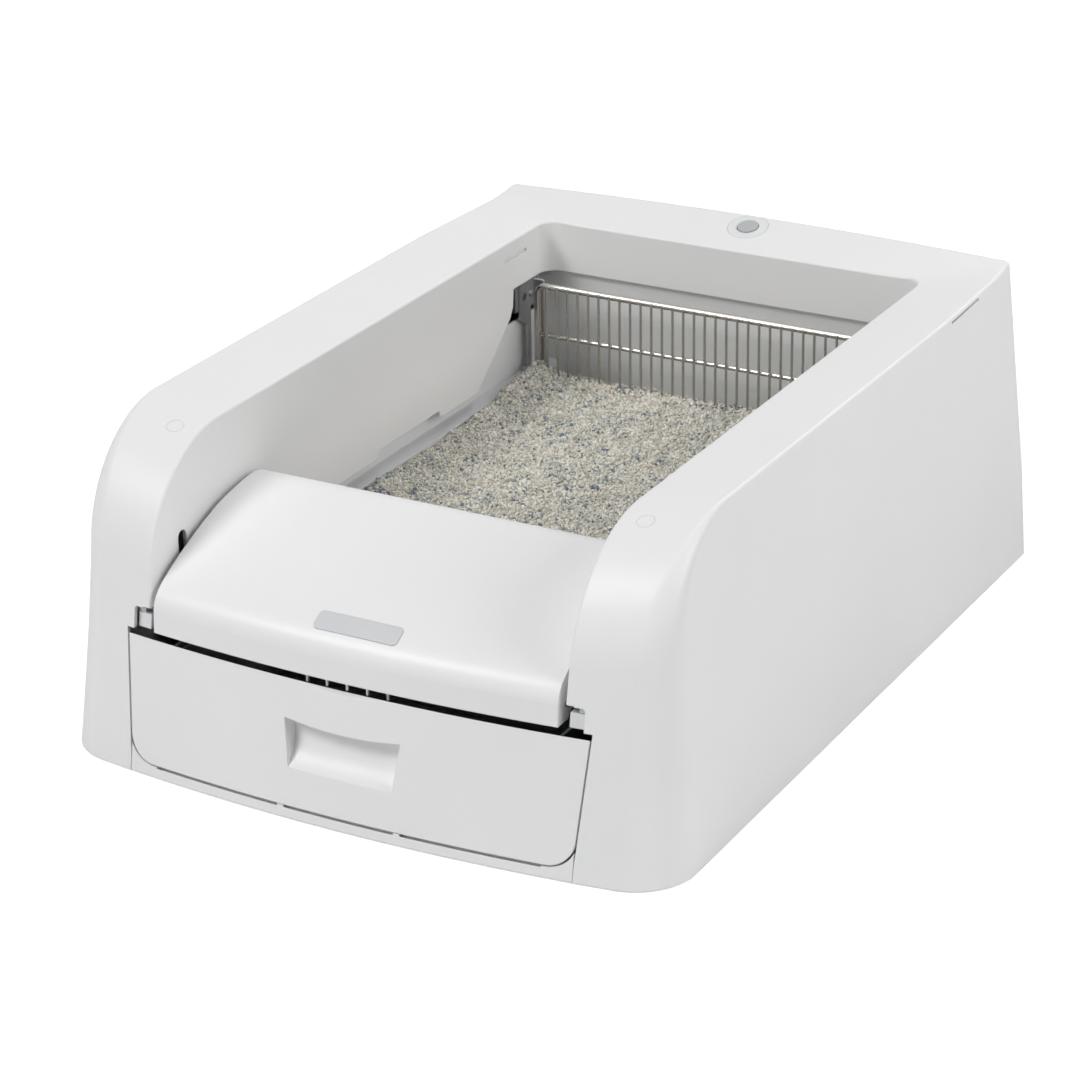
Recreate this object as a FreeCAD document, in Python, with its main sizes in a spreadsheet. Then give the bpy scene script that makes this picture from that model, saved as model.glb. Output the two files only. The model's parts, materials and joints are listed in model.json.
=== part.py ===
import FreeCAD, Part
import math
import os
from types import SimpleNamespace

import Sketcher

# Self-cleaning litter box. Millimetres, +Z up, front towards -Y, x to the right.
# The origin is on the floor, under the middle of the bounding box.

Vector = FreeCAD.Vector
Placement = FreeCAD.Placement
Rotation = FreeCAD.Rotation

document = FreeCAD.newDocument("litter_box")
sheet = document.addObject("Spreadsheet::Sheet", "sizes")


class Size:
    """A number that remembers the spreadsheet formula it comes from."""

    def __init__(self, amount, text):
        self.amount = float(amount)
        self.text = text

    def __add__(self, other):
        return Size(number(self) + number(other), "(%s + %s)" % (formula(self), formula(other)))

    def __radd__(self, other):
        return Size(number(other) + number(self), "(%s + %s)" % (formula(other), formula(self)))

    def __sub__(self, other):
        return Size(number(self) - number(other), "(%s - %s)" % (formula(self), formula(other)))

    def __rsub__(self, other):
        return Size(number(other) - number(self), "(%s - %s)" % (formula(other), formula(self)))

    def __mul__(self, other):
        return Size(number(self) * number(other), "(%s * %s)" % (formula(self), formula(other)))

    __rmul__ = __mul__

    def __truediv__(self, other):
        return Size(number(self) / number(other), "(%s / %s)" % (formula(self), formula(other)))

    def __neg__(self):
        return Size(-number(self), "(0 - %s)" % formula(self))


def number(size):
    """The plain value of a size."""
    return size.amount if isinstance(size, Size) else float(size)


def formula(size):
    """The spreadsheet formula of a size."""
    return size.text if isinstance(size, Size) else "%.6f" % size


driving_sizes = dict(
    # whole object
    overall_width=474, overall_length=640, overall_height=237.5, foot_height=1,
    wall=3, shell_floor=1, front_lean=8.9, front_bow=19.4, rear_bow=8.3,
    # opening and the sloped bands around it
    opening_half=161, opening_height=224, opening_rear=269.5, top_half=220.5, side_top=232,
    narrow_start=170, narrow_end=308, narrow_top_half=214.7, narrow_low_half=239.5,
    skirt_draft=0.02, opening_corner=14, crease_round=2.2,
    # rounded edges of the shell
    arm_arc=91, mitre_round=150, rear_corner=6, edge_round=3, low_corner=44, mid_corner=28,
    inner_edge_round=0.8,
    # lower edge of the skirt
    skirt_front_edge=118.3, skirt_high_edge=124.2, skirt_step_edge=120.6, skirt_low_edge=118.2,
    skirt_rear_edge=184, skirt_rise_start=2, skirt_rise_end=5.5, skirt_step_at=93.5, skirt_step_end=98.5,
    skirt_low_at=152.5, cutout_front=161, cutout_low_height=125.5, cutout_middle=190,
    cutout_middle_height=147.7, cutout_shoulder=207, cutout_shoulder_height=162.2, cutout_rear=211.8,
    cutout_rear_height=170,
    # notches, slots and slits of the shell
    notch_inner=157, notch_outer=172.6, notch_bottom=101, notch_top=117.4, notch_depth_at=-271,
    notch_round=1.5,
    slit_front=184, slit_rear=240, slit_height=1.8, slit_level=227.4, slit_inner=215.5,
    slot_front=202, slot_rear=236, slot_height=2.6, slot_level=209, slot_depth=1.3,
    latch_slot_front=-255.3, latch_slot_rear=-245.3, latch_slot_top=154.4,
    # drawer opening in the front
    front_top=97.3, front_half_top=177, front_half_bottom=170.5, front_bottom=9.6,
    front_gap=1.3, front_panel=3.5, front_corner=20, front_top_slope=30,
    scoop_half=34, scoop_depth=4.4, scoop_slope=34.5,
    sill_half=171.5, sill_top=22, sill_tab_at=45, sill_tab_half=2.5, sill_tab_top=9.2, bay_top=101.5,
    groove_sweep=11.8, groove_slope=40, groove_start=0.3, groove_drop=0.6, groove_rear=5.3, groove_low=4.6,
    # finger recess of the drawer
    grip_half_top=44.5, grip_half_bottom=40, grip_top=70, grip_bottom=36, grip_depth=17.6, grip_wall=1.6,
    grip_straight=68, grip_undercut=3, grip_sag=3.3, grip_lip=2.5,
    # base pan
    pan_inset=4.2, pan_front_inset=5.6, pan_floor=3, pan_rim=9.4, pan_rim_wall=2.5,
    runner_at=140, runner_half=2, runner_top=10, rib_half=1.5, rib_at=100,
    bay_wall_at=-146, bay_wall=2.5,
    # feet and frame screws
    foot_radius=10, foot_side=200, foot_front=-262, foot_rear=285, foot_middle=12,
    lug_at=228, lug_half=8, lug_height=4.5, lug_front=-190, lug_middle=40, lug_rear=262,
    screw_shaft=1.5, screw_head=3.4, screw_head_height=1.8,
    # litter tray
    tray_bottom=51, tray_floor=54, tray_low_half=149.3, tray_high_half=155.6, tray_wall=2.3,
    tray_flange=104, tray_flange_thick=2, tray_flange_half=172, tray_upstand=150,
    upstand_step=266, upstand_high=184,
    tray_front=-151, tray_rear=276, tray_back_top=186, tray_back_half=172, tray_back_wall=2.5,
    ramp_foot=-116, ramp_top=118, ramp_crest=-146, ramp_skin=2.4,
    # litter
    litter_half=148.8, litter_front_height=98, litter_rear_height=111, litter_rear=272.8,
    litter_gap=0.3, furrow_half=1.5, furrow_front=-110, furrow_rear=243, furrow_bottom=61.4,
    # rake
    rake_plane=240, top_rod=180.4, top_rod_radius=2.5, top_rod_half=153, rod_bend=7,
    cross_rod=139.7, cross_rod_radius=2, tine_radius=1, tine_pitch=9.25, tine_bottom=62, tine_top=182,
    tine_count=32, rod_leg_bottom=118,
    # rake brackets and carriages
    bracket_inner=149.2, bracket_outer_face=167, bracket_sheet=1.8, bracket_foot=108,
    bracket_foot_top=110.6, bracket_foot_front=237, bracket_top=184, bracket_plate_top=182,
    bracket_front=232.5, bracket_rear=250, bracket_leg_front=244, bracket_step_front=151,
    bracket_step_rear=143.5, bracket_tail_bottom=158, bracket_tail_rear=262,
    bracket_upright_outer=158.3, bracket_upright_sheet=2.5,
    bracket_hole=3.2, bracket_hole_at=240.5, carriage_outer=202, carriage_bottom=158, carriage_top=178,
    carriage_front=228, carriage_rear=264, carriage_screw_front=251, carriage_screw_rear=259,
    clamp_front=238, clamp_rear=254, clamp_inner=194, clamp_outer=207.6, clamp_top=186,
    clamp_slot_inner=195.5, clamp_slot_bottom=178.5, clamp_slot_top=181.4,
    # guide rails and side frames
    rail_at=188, rail_height=168, rail_radius=4, rail_gap=0.06, rail_front=-190, rail_rear=275,
    frame_inner=210, frame_sheet=2.5, frame_front=-186, frame_rear=302, frame_top=205,
    frame_foot_inner=192, frame_foot_height=3, tab_inner=178, tab_bottom=158, tab_top=176,
    front_tab=-186, rear_tab=268, tab_sheet=3,
    # belt drive
    shaft_at=292.5, shaft_height=192, shaft_radius=4, idler_at=-165, pulley_radius=11,
    flange_radius=13.2, flange_thick=1, pulley_inner=195.7, pulley_outer=206.3, hub_radius=7, hub_long=4,
    belt_inner_radius=11.3, belt_outer_radius=12.9, belt_inner_face=197, belt_outer_face=205,
    pin_radius=3, pin_head=5, pin_head_at=193.4, pin_head_long=1.6, running_gap=0.05,
    bush_radius=7, bush_flange=9, bush_flange_inner=208.4, bush_outer=213.4,
    # drive gear, pinion and motor
    gear_left=60, gear_width=8, gear_teeth=28, pinion_teeth=12, tooth_module=1, tooth_height=0.85,
    tooth_root=1.1, tooth_foot_half=0.75, tooth_tip_half=0.3,
    motor_height=172, motor_radius=15.6, motor_left=72, motor_right=132, motor_cap_radius=12,
    motor_cap_long=5, motor_shaft=2.5, mount_left=69, mount_front=277.2, mount_rear=309, mount_foot=100,
    # electrics
    board_left=-160, board_right=-80, board_front=278.5, board_rear=308.5, board_height=15, board_thick=1.6,
    post_radius=3, inlet_at=-185, inlet_height=26, inlet_radius=5.4, inlet_hole=3, inlet_long=16,
    inlet_proud=0.6,
    switch_inner=196, switch_bottom=145.5, switch_top=157.5, switch_front=-116, switch_rear=250,
    switch_long=16,
    # push button
    button_at=302.1, bezel_radius=16, bezel_thick=1.5, bezel_gap=0.15, bezel_tube=11.5,
    bezel_tube_wall=1.6, bezel_tube_long=12, cap_radius=8.25, cap_rise=0.8,
    cap_flange=9.6, cap_flange_top=3, cap_flange_thick=1.5, spring_radius=5, spring_wall=1,
    spring_bottom=9.6, button_switch_bottom=18, plunger_radius=2,
    plunger_top=6.6, bezel_bore=8.65,
    # hinge of the bin lid
    hinge_at=-285.2, hinge_height=114.6, lid_pin=1.5, lid_pin_outer=168.5, block_inner=160.8,
    block_outer=171.8, block_bottom=101.8, block_shelf=112, block_top=116.9, block_rear=-272,
    block_recess=4.2, block_upper_recess=5, block_cheek=166.5, block_pocket_rear=-280,
    block_ear_inner=167, block_ear_outer=178, block_ear_top=136, block_ear_front=-283.8,
    block_ear_rear=-280.4,
    # bin lid
    lid_half=155, lid_sheet=2.5, lid_bow=8.6, lid_lip=102.5, lid_corner=8, lid_rib_bottom=95.4,
    lid_rib_half=0.8, lid_rib_thick=1.5, lid_rib_behind=3.9, lid_rib_pitch=15.5,
    badge_at=3.5, badge_half=32, badge_front=-294.7, badge_rear=-282, badge_rise=0.5, badge_gap=0.03,
    badge_corner=3.4,
    # drawer box and bin
    drawer_half=150, drawer_front_face=-294.4, drawer_rear=-152.5, drawer_bottom=10.3, drawer_top=88,
    drawer_wall=2.5, boss_radius=5, boss_side=120, boss_low=28, boss_high=76,
    bin_gap=0.6, bin_wall=1.5, bin_top=84.5,
    # round plugs on the arms
    plug_side=180, plug_at=-222, plug_radius=6, plug_depth=1.4, plug_gap=0.08,
)
size = SimpleNamespace()
for line, (name, amount) in enumerate(driving_sizes.items(), start=1):
    sheet.set("A%d" % line, name)
    sheet.set("B%d" % line, str(amount))
    sheet.setAlias("B%d" % line, name)
    setattr(size, name, Size(amount, "sizes.%s" % name))
document.recompute()

pieces = []
TURNS = {"x": Rotation(Vector(0, 1, 0), 90), "y": Rotation(Vector(1, 0, 0), -90), "z": Rotation()}


def place(thing, where, turn=None):
    """Put an object at a point whose three numbers may be formulas."""
    if turn is not None:
        thing.Placement = Placement(Vector(), turn)
    for axis, amount in zip("xyz", where):
        thing.setExpression("Placement.Base.%s" % axis, formula(amount))
    return thing


def box(name, low, high):
    """A block between two opposite corners."""
    block = document.addObject("Part::Box", name)
    for side, start, end in zip(("Length", "Width", "Height"), low, high):
        block.setExpression(side, formula(end - start))
    return place(block, low)


def rod(name, radius, start, length, axis="z"):
    """A round bar that runs from its start point along an axis."""
    bar = document.addObject("Part::Cylinder", name)
    bar.setExpression("Radius", formula(radius))
    bar.setExpression("Height", formula(length))
    return place(bar, start, TURNS[axis])


def fuse(name, *parts):
    """Several overlapping objects as one solid."""
    union = document.addObject("Part::MultiFuse", name)
    union.Shapes = list(parts)
    union.Refine = True
    return union


def cut(name, base, *tools):
    """A base object without one or more tools."""
    result = document.addObject("Part::Cut", name)
    result.Base = base
    result.Tool = tools[0] if len(tools) == 1 else fuse(name + "_tools", *tools)
    result.Refine = True
    return result


def common(name, first, second):
    """What two objects share."""
    result = document.addObject("Part::Common", name)
    result.Base = first
    result.Tool = second
    return result


def group(name, *parts):
    """Separate solids kept in one node."""
    bundle = document.addObject("Part::Compound", name)
    bundle.Links = list(parts)
    return bundle


def mirror(name, source):
    """The same form on the other side of the middle plane."""
    twin = document.addObject("Part::Mirroring", name)
    twin.Source = source
    twin.Normal = Vector(1, 0, 0)
    return twin


def piece(label, thing):
    """Give a finished sub-part its name and list it for writing."""
    thing.Label = label
    pieces.append(thing)
    return thing


def plate(name, plane, corners, start, depth):
    """A sketched outline padded by depth: along +X from YZ, towards -Y from XZ, up from XY."""
    body = document.addObject("PartDesign::Body", name)
    origin_plane = [item for item in body.Origin.OriginFeatures if item.Role == plane + "_Plane"][0]
    sketch = body.newObject("Sketcher::SketchObject", name + "_outline")
    sketch.AttachmentSupport = [(origin_plane, "")]
    sketch.MapMode = "FlatFace"
    offset = -start if plane == "XZ" else start
    sketch.setExpression("AttachmentOffset.Base.z", formula(offset))
    spots = [Vector(number(u), number(v), 0) for u, v in corners]
    for spot, following in zip(spots, spots[1:] + spots[:1]):
        sketch.addGeometry(Part.LineSegment(spot, following), False)
    for index, (u, v) in enumerate(corners):
        sketch.addConstraint(Sketcher.Constraint("Coincident", index, 2, (index + 1) % len(corners), 1))
        for kind, amount in (("DistanceX", u), ("DistanceY", v)):
            line = sketch.addConstraint(Sketcher.Constraint(kind, -1, 1, index, 1, number(amount)))
            sketch.setExpression("Constraints[%d]" % line, formula(amount))
    pad = body.newObject("PartDesign::Pad", name + "_pad")
    pad.Profile = sketch
    pad.setExpression("Length", formula(depth))
    return body


def tapered(name, low_half, high_half, bottom, top, front, rear):
    """A block whose half width changes evenly from its bottom to its top."""
    wedge = document.addObject("Part::Wedge", name)
    spans = dict(Xmin=-low_half, Xmax=low_half, X2min=-high_half, X2max=high_half, Ymin=bottom, Ymax=top,
                 Zmin=-rear, Zmax=-front, Z2min=-rear, Z2max=-front)
    for side in ("Xmax", "X2max", "Ymax", "Zmax", "Z2max", "Xmin", "X2min", "Ymin", "Zmin", "Z2min"):
        wedge.setExpression(side, formula(spans[side]))
    wedge.Placement = Placement(Vector(), Rotation(Vector(1, 0, 0), 90))
    return wedge


def shaped(name, shape):
    """A form made with Part's own functions from sizes of the sheet."""
    holder = document.addObject("Part::Feature", name)
    holder.Shape = shape
    holder.Placement = Placement()
    return holder


# Values of the sheet that the shell's own functions read as plain numbers
half_width = number(size.overall_width) / 2
half_length = number(size.overall_length) / 2
full_height = number(size.overall_height)
lean = math.tan(math.radians(number(size.front_lean)))
band_rise = full_height - number(size.opening_height)
side_top = number(size.side_top)
side_rise = side_top - number(size.opening_height)
taper = half_width - number(size.top_half)
BIG = 3000.0
BOX_FRONT = -360.0
BOX_LONG = 700.0
BOX_HIGH = 300.0
BOX_SPARE = 20.0
LEAN_STEP = Vector(0, lean, 1)
MIDDLE_HEIGHT = 100.0
VALLEY_OUT = 29.0
VALLEY_BACK = 14.7
VALLEY_HEIGHT = 228.0
FRONT_EDGE_OUT = 40.0
FRONT_EDGE_SHARE = -0.83
LOW_CORNER_AT = (-288.7, 80.0)
MID_CORNER_AT = (-235.0, 215.0)
NEAR_EDGE = 4.0


def half_space(point, normal):
    """Everything on the side of a plane that its normal points to."""
    block = Part.makeBox(BIG, BIG, BIG, Vector(-BIG / 2, -BIG / 2, 0))
    block.Placement = Placement(point, Rotation(Vector(0, 0, 1), normal))
    return block


def nearest(shape, point):
    """The edge of a shape that lies closest to a point."""
    spot = Part.Vertex(point)
    return min(shape.Edges, key=lambda edge: edge.distToShape(spot)[0])


def front_bow(x):
    """How far the bowed front stands back at a distance from the middle."""
    return number(size.front_bow) * (x / half_width) ** 2


def front_face(x, z):
    """The y of the bowed, leaning front."""
    return -half_length + front_bow(x) + lean * z


def rear_face(x):
    """The y of the bowed, upright rear."""
    return half_length - number(size.rear_bow) * (x / half_width) ** 2


def side_face(z):
    """The x of the tapered right side at a height."""
    return half_width - taper * z / side_top


def cut_plane(shape, point, normal, inset):
    """Take away what lies outside a plane moved inwards by the inset."""
    outward = Vector(normal).normalize()
    return shape.cut(half_space(Vector(point) - outward * inset, outward))


def kept_round(radius, inset):
    """A radius of the outer form as it is on a form moved inwards."""
    return max(number(radius) - inset, number(size.inner_edge_round))


def rear_limit(inset):
    """A tall block that ends at the bowed rear, moved inwards by the inset."""
    far = half_width + BOX_SPARE
    left = Vector(-far, rear_face(far) - inset, 0)
    right = Vector(far, left.y, 0)
    arc = Part.Arc(left, Vector(0, half_length - inset, 0), right)
    corners = [right, Vector(far, BOX_FRONT, 0), Vector(-far, BOX_FRONT, 0), left]
    sides = [Part.makeLine(start, finish) for start, finish in zip(corners, corners[1:])]
    return Part.Face(Part.Wire([arc.toShape(), *sides])).extrude(Vector(0, 0, BOX_HIGH))


def hull(inset):
    """The shell's outer form, a U of two arms and a rear bar, moved inwards by the inset."""
    inner = number(size.opening_half)
    crease = number(size.opening_height)
    rear_line = number(size.opening_rear)
    draft = number(size.skirt_draft)
    far = half_width + BOX_SPARE
    wings = []
    for side in (1, -1):
        arm = Part.makeBox(far, BOX_LONG, BOX_HIGH, Vector(min(side, 0) * far, BOX_FRONT, 0))
        arm = cut_plane(arm, Vector(side * inner, 0, crease),
                        Vector(-side * side_rise, 0, number(size.top_half) - inner), inset)
        middle = (inner + half_width) / 2
        slope = 2 * number(size.front_bow) * middle / half_width ** 2
        arm = cut_plane(arm, Vector(side * middle, front_face(middle, 0), 0),
                        Vector(side * slope, -1, lean), inset)
        arm = cut_plane(arm, Vector(side * inner, 0, crease), Vector(-side, 0, draft), inset)
        front_edge = nearest(arm, Vector(side * (inner + FRONT_EDGE_OUT), half_length * FRONT_EDGE_SHARE,
                                         side_top - NEAR_EDGE))
        wings.append(arm.makeFillet(number(size.arm_arc) - inset, [front_edge]))
    bar = Part.makeBox(far * 2, BOX_LONG, BOX_HIGH, Vector(-far, BOX_FRONT, 0))
    bar = cut_plane(bar, Vector(0, rear_line, crease), Vector(0, -band_rise, half_length - rear_line), inset)
    bar = cut_plane(bar, Vector(0, rear_line, crease), Vector(0, -1, draft), inset)
    form = wings[0].fuse([wings[1], bar]).removeSplitter()
    narrow_top = Vector(number(size.narrow_top_half), number(size.narrow_end), side_top)
    narrow_low = Vector(number(size.narrow_low_half), number(size.narrow_end), 0)
    narrow_front = Vector(number(size.top_half), number(size.narrow_start), side_top)
    narrow = (narrow_low - narrow_top).cross(narrow_front - narrow_top)
    if narrow.x < 0:
        narrow = -narrow
    for side in (1, -1):
        form = cut_plane(form, Vector(side * half_width, 0, 0), Vector(side * side_top, 0, taper), inset)
        form = cut_plane(form, Vector(side * narrow_top.x, narrow_top.y, narrow_top.z),
                         Vector(side * narrow.x, narrow.y, narrow.z), inset)
    form = form.common(rear_limit(inset)).removeSplitter()
    inner_edges = [nearest(form, Vector(side * (inner - 1), rear_line - 1, MIDDLE_HEIGHT))
                   for side in (1, -1)]
    form = form.makeFillet(number(size.opening_corner) + inset, inner_edges)
    if inset == 0:
        valleys = [nearest(form, Vector(side * (inner + VALLEY_OUT), rear_line + VALLEY_BACK, VALLEY_HEIGHT))
                   for side in (1, -1)]
        form = form.makeFillet(number(size.mitre_round), valleys)
    edge_x = half_width - NEAR_EDGE
    corners = [nearest(form, Vector(side * edge_x, rear_face(edge_x), MIDDLE_HEIGHT)) for side in (1, -1)]
    return form.makeFillet(kept_round(size.rear_corner, inset), corners)


def rounded(name, base, radius, points):
    """The edges of an object that lie closest to some points, with a round on them."""
    smooth = document.addObject("Part::Fillet", name)
    smooth.Base = base
    rounds = []
    for point in points:
        edge = nearest(base.Shape, point)
        index = [spot.isSame(edge) for spot in base.Shape.Edges].index(True) + 1
        rounds.append((index, number(radius), number(radius)))
    smooth.Edges = rounds
    return smooth


def rounded_hull(name, inset):
    """The outer form with its front corners and top edges rounded as one chain."""
    form = shaped(name + "_form", hull(inset))
    rounds = []
    low_y, low_z = LOW_CORNER_AT
    mid_y, mid_z = MID_CORNER_AT
    for side in (1, -1):
        chain = (
            (Vector(side * side_face(low_z), low_y, low_z), size.low_corner, size.mid_corner),
            (Vector(side * side_face(mid_z), mid_y, mid_z), size.mid_corner, size.edge_round),
            (Vector(side * number(size.top_half), 0, side_top), size.edge_round, size.edge_round),
        )
        for point, first, last in chain:
            edge = nearest(form.Shape, point)
            index = [spot.isSame(edge) for spot in form.Shape.Edges].index(True) + 1
            if side < 0:
                # the left chain runs from the rear to the floor
                first, last = last, first
            rounds.append((index, kept_round(first, inset), kept_round(last, inset)))
    smooth = document.addObject("Part::Fillet", name)
    smooth.Base = form
    smooth.Edges = rounds
    return smooth


def bowed_slab(name, half, bottom, top, depth, inset):
    """A slab behind the bowed, leaning front, between two heights."""
    corners = []
    for back in (inset, inset + depth):
        corners.append([Vector(x, front_face(x, bottom) + back, bottom) for x in (-half, 0, half)])
    front, rear = corners
    edges = [Part.Arc(*front).toShape(), Part.LineSegment(front[2], rear[2]).toShape(),
             Part.Arc(*rear).toShape(), Part.LineSegment(rear[0], front[0]).toShape()]
    face = Part.Face(Part.Wire(Part.__sortEdges__(edges)))
    return shaped(name, face.extrude(LEAN_STEP * (top - bottom)))


def bow_sweep(name, half, level, profile, angle):
    """A profile of points behind the front at a level, swept along the front's bow by an angle."""
    deep = front_bow(half)
    radius = (half ** 2 + deep ** 2) / (2 * deep)
    nose = front_face(0, level)
    corners = [Vector(0, nose + back, height) for back, height in profile]
    face = Part.Face(Part.makePolygon(corners + corners[:1]))
    axis = Vector(0, nose + radius, level)
    upward = Vector(0, 0, 1)
    face.rotate(axis, upward, -angle / 2)
    return shaped(name, face.revolve(axis, upward, angle))


def gear_blank(name, teeth, left, width, centre_height, turn):
    """A toothed disc on an axis along X, with straight-sided teeth."""
    module = number(size.tooth_module)
    pitch = module * teeth / 2
    root = pitch - number(size.tooth_root)
    tip = pitch + number(size.tooth_height)
    foot_half = number(size.tooth_foot_half)
    tip_half = number(size.tooth_tip_half)
    points = []
    for tooth in range(teeth):
        angle = turn + 2 * math.pi * tooth / teeth
        for radius, side in ((root, -foot_half), (tip, -tip_half), (tip, tip_half), (root, foot_half)):
            along = Vector(0, math.cos(angle), math.sin(angle)) * radius
            across = Vector(0, -math.sin(angle), math.cos(angle)) * side
            points.append(Vector(left, number(size.shaft_at), centre_height) + along + across)
    wire = Part.makePolygon(points + points[:1])
    return shaped(name, Part.Face(wire).extrude(Vector(width, 0, 0)))


# Shell: outside, hollow inside, open under the skirt and in front
outer_form = rounded_hull("shell_outside", 0)
inner_form = rounded_hull("shell_inside", number(size.wall))
reach = size.overall_length
wide = size.overall_width
floor_cut = box("floor_cut", (-wide, -reach, -reach), (wide, reach, size.shell_floor))
skirt_line = [
    (-reach, -size.wall), (-reach, size.skirt_front_edge),
    (size.skirt_rise_start, size.skirt_front_edge), (size.skirt_rise_end, size.skirt_high_edge),
    (size.skirt_step_at, size.skirt_high_edge), (size.skirt_step_at, size.skirt_step_edge),
    (size.skirt_step_end, size.skirt_low_edge), (size.skirt_low_at, size.skirt_low_edge),
    (size.cutout_front, size.cutout_low_height), (size.cutout_middle, size.cutout_middle_height),
    (size.cutout_shoulder, size.cutout_shoulder_height), (size.cutout_rear, size.cutout_rear_height),
    (size.cutout_rear + 2, size.skirt_rear_edge), (size.opening_rear + 4, size.skirt_rear_edge),
    (size.opening_rear + 4, -size.wall),
]
under_half = size.opening_half + 4
under_skirt = plate("under_skirt", "YZ", skirt_line, -under_half, under_half * 2)
bay_slope = (size.front_half_top - size.front_half_bottom) / (size.front_top - size.front_bottom)
bay_wide = size.front_half_top + size.front_gap + bay_slope * (size.bay_top - size.front_top)
bay_narrow = size.front_half_bottom + size.front_gap
front_bay = plate("front_bay", "XZ", [
    (-bay_narrow, -size.wall), (bay_narrow, -size.wall), (bay_narrow, size.front_bottom),
    (bay_wide, size.bay_top), (-bay_wide, size.bay_top), (-bay_narrow, size.front_bottom),
], size.opening_rear / -2, reach)
tools = [inner_form, floor_cut, under_skirt, front_bay]
for side in (1, -1):
    tag = "right" if side > 0 else "left"

    def across(near, far):
        """Two x values in rising order on one side."""
        return (near, far) if side > 0 else (-far, -near)

    tools.append(plate("notch_" + tag, "XZ", [
        (side * size.notch_inner, size.notch_bottom), (side * size.notch_outer, size.notch_bottom),
        (side * size.notch_outer, size.notch_top - size.notch_round),
        (side * (size.notch_outer - size.notch_round), size.notch_top),
        (side * size.notch_inner, size.notch_top),
    ], size.notch_depth_at, reach))
    low, high = across(size.slit_inner, wide)
    tools.append(box("slit_" + tag, (low, size.slit_front, size.slit_level),
                     (high, size.slit_rear, size.slit_level + size.slit_height)))
    low, high = across(size.opening_half - 4, size.opening_half + size.slot_depth)
    tools.append(box("slot_" + tag, (low, size.slot_front, size.slot_level),
                     (high, size.slot_rear, size.slot_level + size.slot_height)))
    low, high = across(size.opening_half - 4, size.opening_half + 4)
    slot_middle = (size.latch_slot_front + size.latch_slot_rear) / 2
    slot_half = (size.latch_slot_rear - size.latch_slot_front) / 2
    tools.append(box("latch_slot_" + tag, (low, size.latch_slot_front, 0),
                     (high, size.latch_slot_rear, size.latch_slot_top)))
    tools.append(rod("latch_round_" + tag, slot_half, (low, slot_middle, size.latch_slot_top), 8, "x"))
inlet_rear = rear_face(number(size.inlet_at)) + size.inlet_proud
tools.append(rod("inlet_hole", size.inlet_radius + size.bezel_gap,
                 (size.inlet_at, inlet_rear - size.inlet_long, size.inlet_height), size.inlet_long * 2, "y"))

# Push button: its axis stands square on the sloped rear band
band_slope = math.degrees(math.atan2(band_rise, half_length - number(size.opening_rear)))
band_turn = Rotation(Vector(1, 0, 0), band_slope)
band_axis = band_turn.multVec(Vector(0, 0, 1))
button_top = size.opening_height + (size.button_at - size.opening_rear) * (
    (size.overall_height - size.opening_height) / (size.overall_length / 2 - size.opening_rear))


def on_band(name, radius, low, high):
    """A round bar on the button's axis, from low to high above the band."""
    bar = document.addObject("Part::Cylinder", name)
    bar.setExpression("Radius", formula(radius))
    bar.setExpression("Height", formula(high - low))
    return place(bar, (0, size.button_at + low * band_axis.y, button_top + low * band_axis.z), band_turn)


tools.append(on_band("bezel_seat", size.bezel_radius + size.bezel_gap, -size.bezel_thick, 6))
tools.append(on_band("bezel_hole", size.bezel_tube + size.bezel_gap, -8, 2))

# Round plugs set into the arms, square on the surface where they sit
arc_radius = number(size.arm_arc)


def on_arm(name, radius, low, high, side):
    """A round bar through the arm's curved top, from low to high along the surface normal."""
    spot = Vector(side * number(size.plug_side), number(size.plug_at), BIG)
    ray = Part.makeLine(spot, spot - Vector(0, 0, BIG))
    hit = max((vertex.Point for vertex in outer_form.Shape.common(ray).Vertexes), key=lambda p: p.z)
    band = Vector(-side * side_rise, 0, number(size.top_half) - number(size.opening_half)).normalize()
    back = arc_radius * math.tan(math.radians(45 - number(size.front_lean) / 2))
    arc_start = front_face(number(size.plug_side), hit.z) + back
    tilt = math.asin((number(size.plug_at) - arc_start) / arc_radius)
    normal = Rotation(Vector(1, 0, 0), -math.degrees(tilt)).multVec(band)
    bar = Part.makeCylinder(number(radius), high - low, hit + normal * low, normal)
    return shaped(name, bar)


document.recompute()
plug_pockets = [on_arm("plug_pocket_%d" % (side + 1), size.plug_radius + size.plug_gap,
                       -number(size.plug_depth), 4, side) for side in (1, -1)]
tools.extend(plug_pockets)
shell = cut("shell_cut", outer_form, *tools)
lugs = []
lug_rows = (size.lug_front, size.lug_middle, size.lug_rear)
for row, where in enumerate(lug_rows):
    for side in (1, -1):
        low, high = (size.lug_at - 5, size.lug_at + 8) if side > 0 else (-8 - size.lug_at, 5 - size.lug_at)
        lug = box("lug_%d_%d" % (row, side + 1), (low, where - size.lug_half, size.pan_rim),
                  (high, where + size.lug_half, size.pan_rim + size.lug_height))
        hole = rod("lug_hole_%d_%d" % (row, side + 1), size.screw_shaft,
                   (side * size.lug_at, where, 0), size.pan_rim * 3)
        lugs.append(cut("lug_cut_%d_%d" % (row, side + 1), lug, hole))
lug_trim = common("lugs_inside", fuse("lugs", *lugs), outer_form)
sharp_frame = fuse("sharp_frame", shell, lug_trim)
document.recompute()
creases = [Vector(side * number(size.opening_half), 0, number(size.opening_height)) for side in (1, -1)]
creases.append(Vector(0, number(size.opening_rear), number(size.opening_height)))
piece("top_frame", rounded("top_frame", sharp_frame, size.crease_round, creases))

# Round plugs, flush with the arms
plug_bars = [on_arm("plug_%d" % (side + 1), size.plug_radius, -number(size.plug_depth) + 0.02, 4, side)
             for side in (1, -1)]
plugs = [common("plug_cut_%d" % index, bar, outer_form) for index, bar in enumerate(plug_bars)]
piece("arm_plugs", group("arm_plugs", *plugs))

# Base pan: floor, low rim, sill, drawer runners and tray ribs
pan_floor_top = size.shell_floor + size.pan_floor


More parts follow.
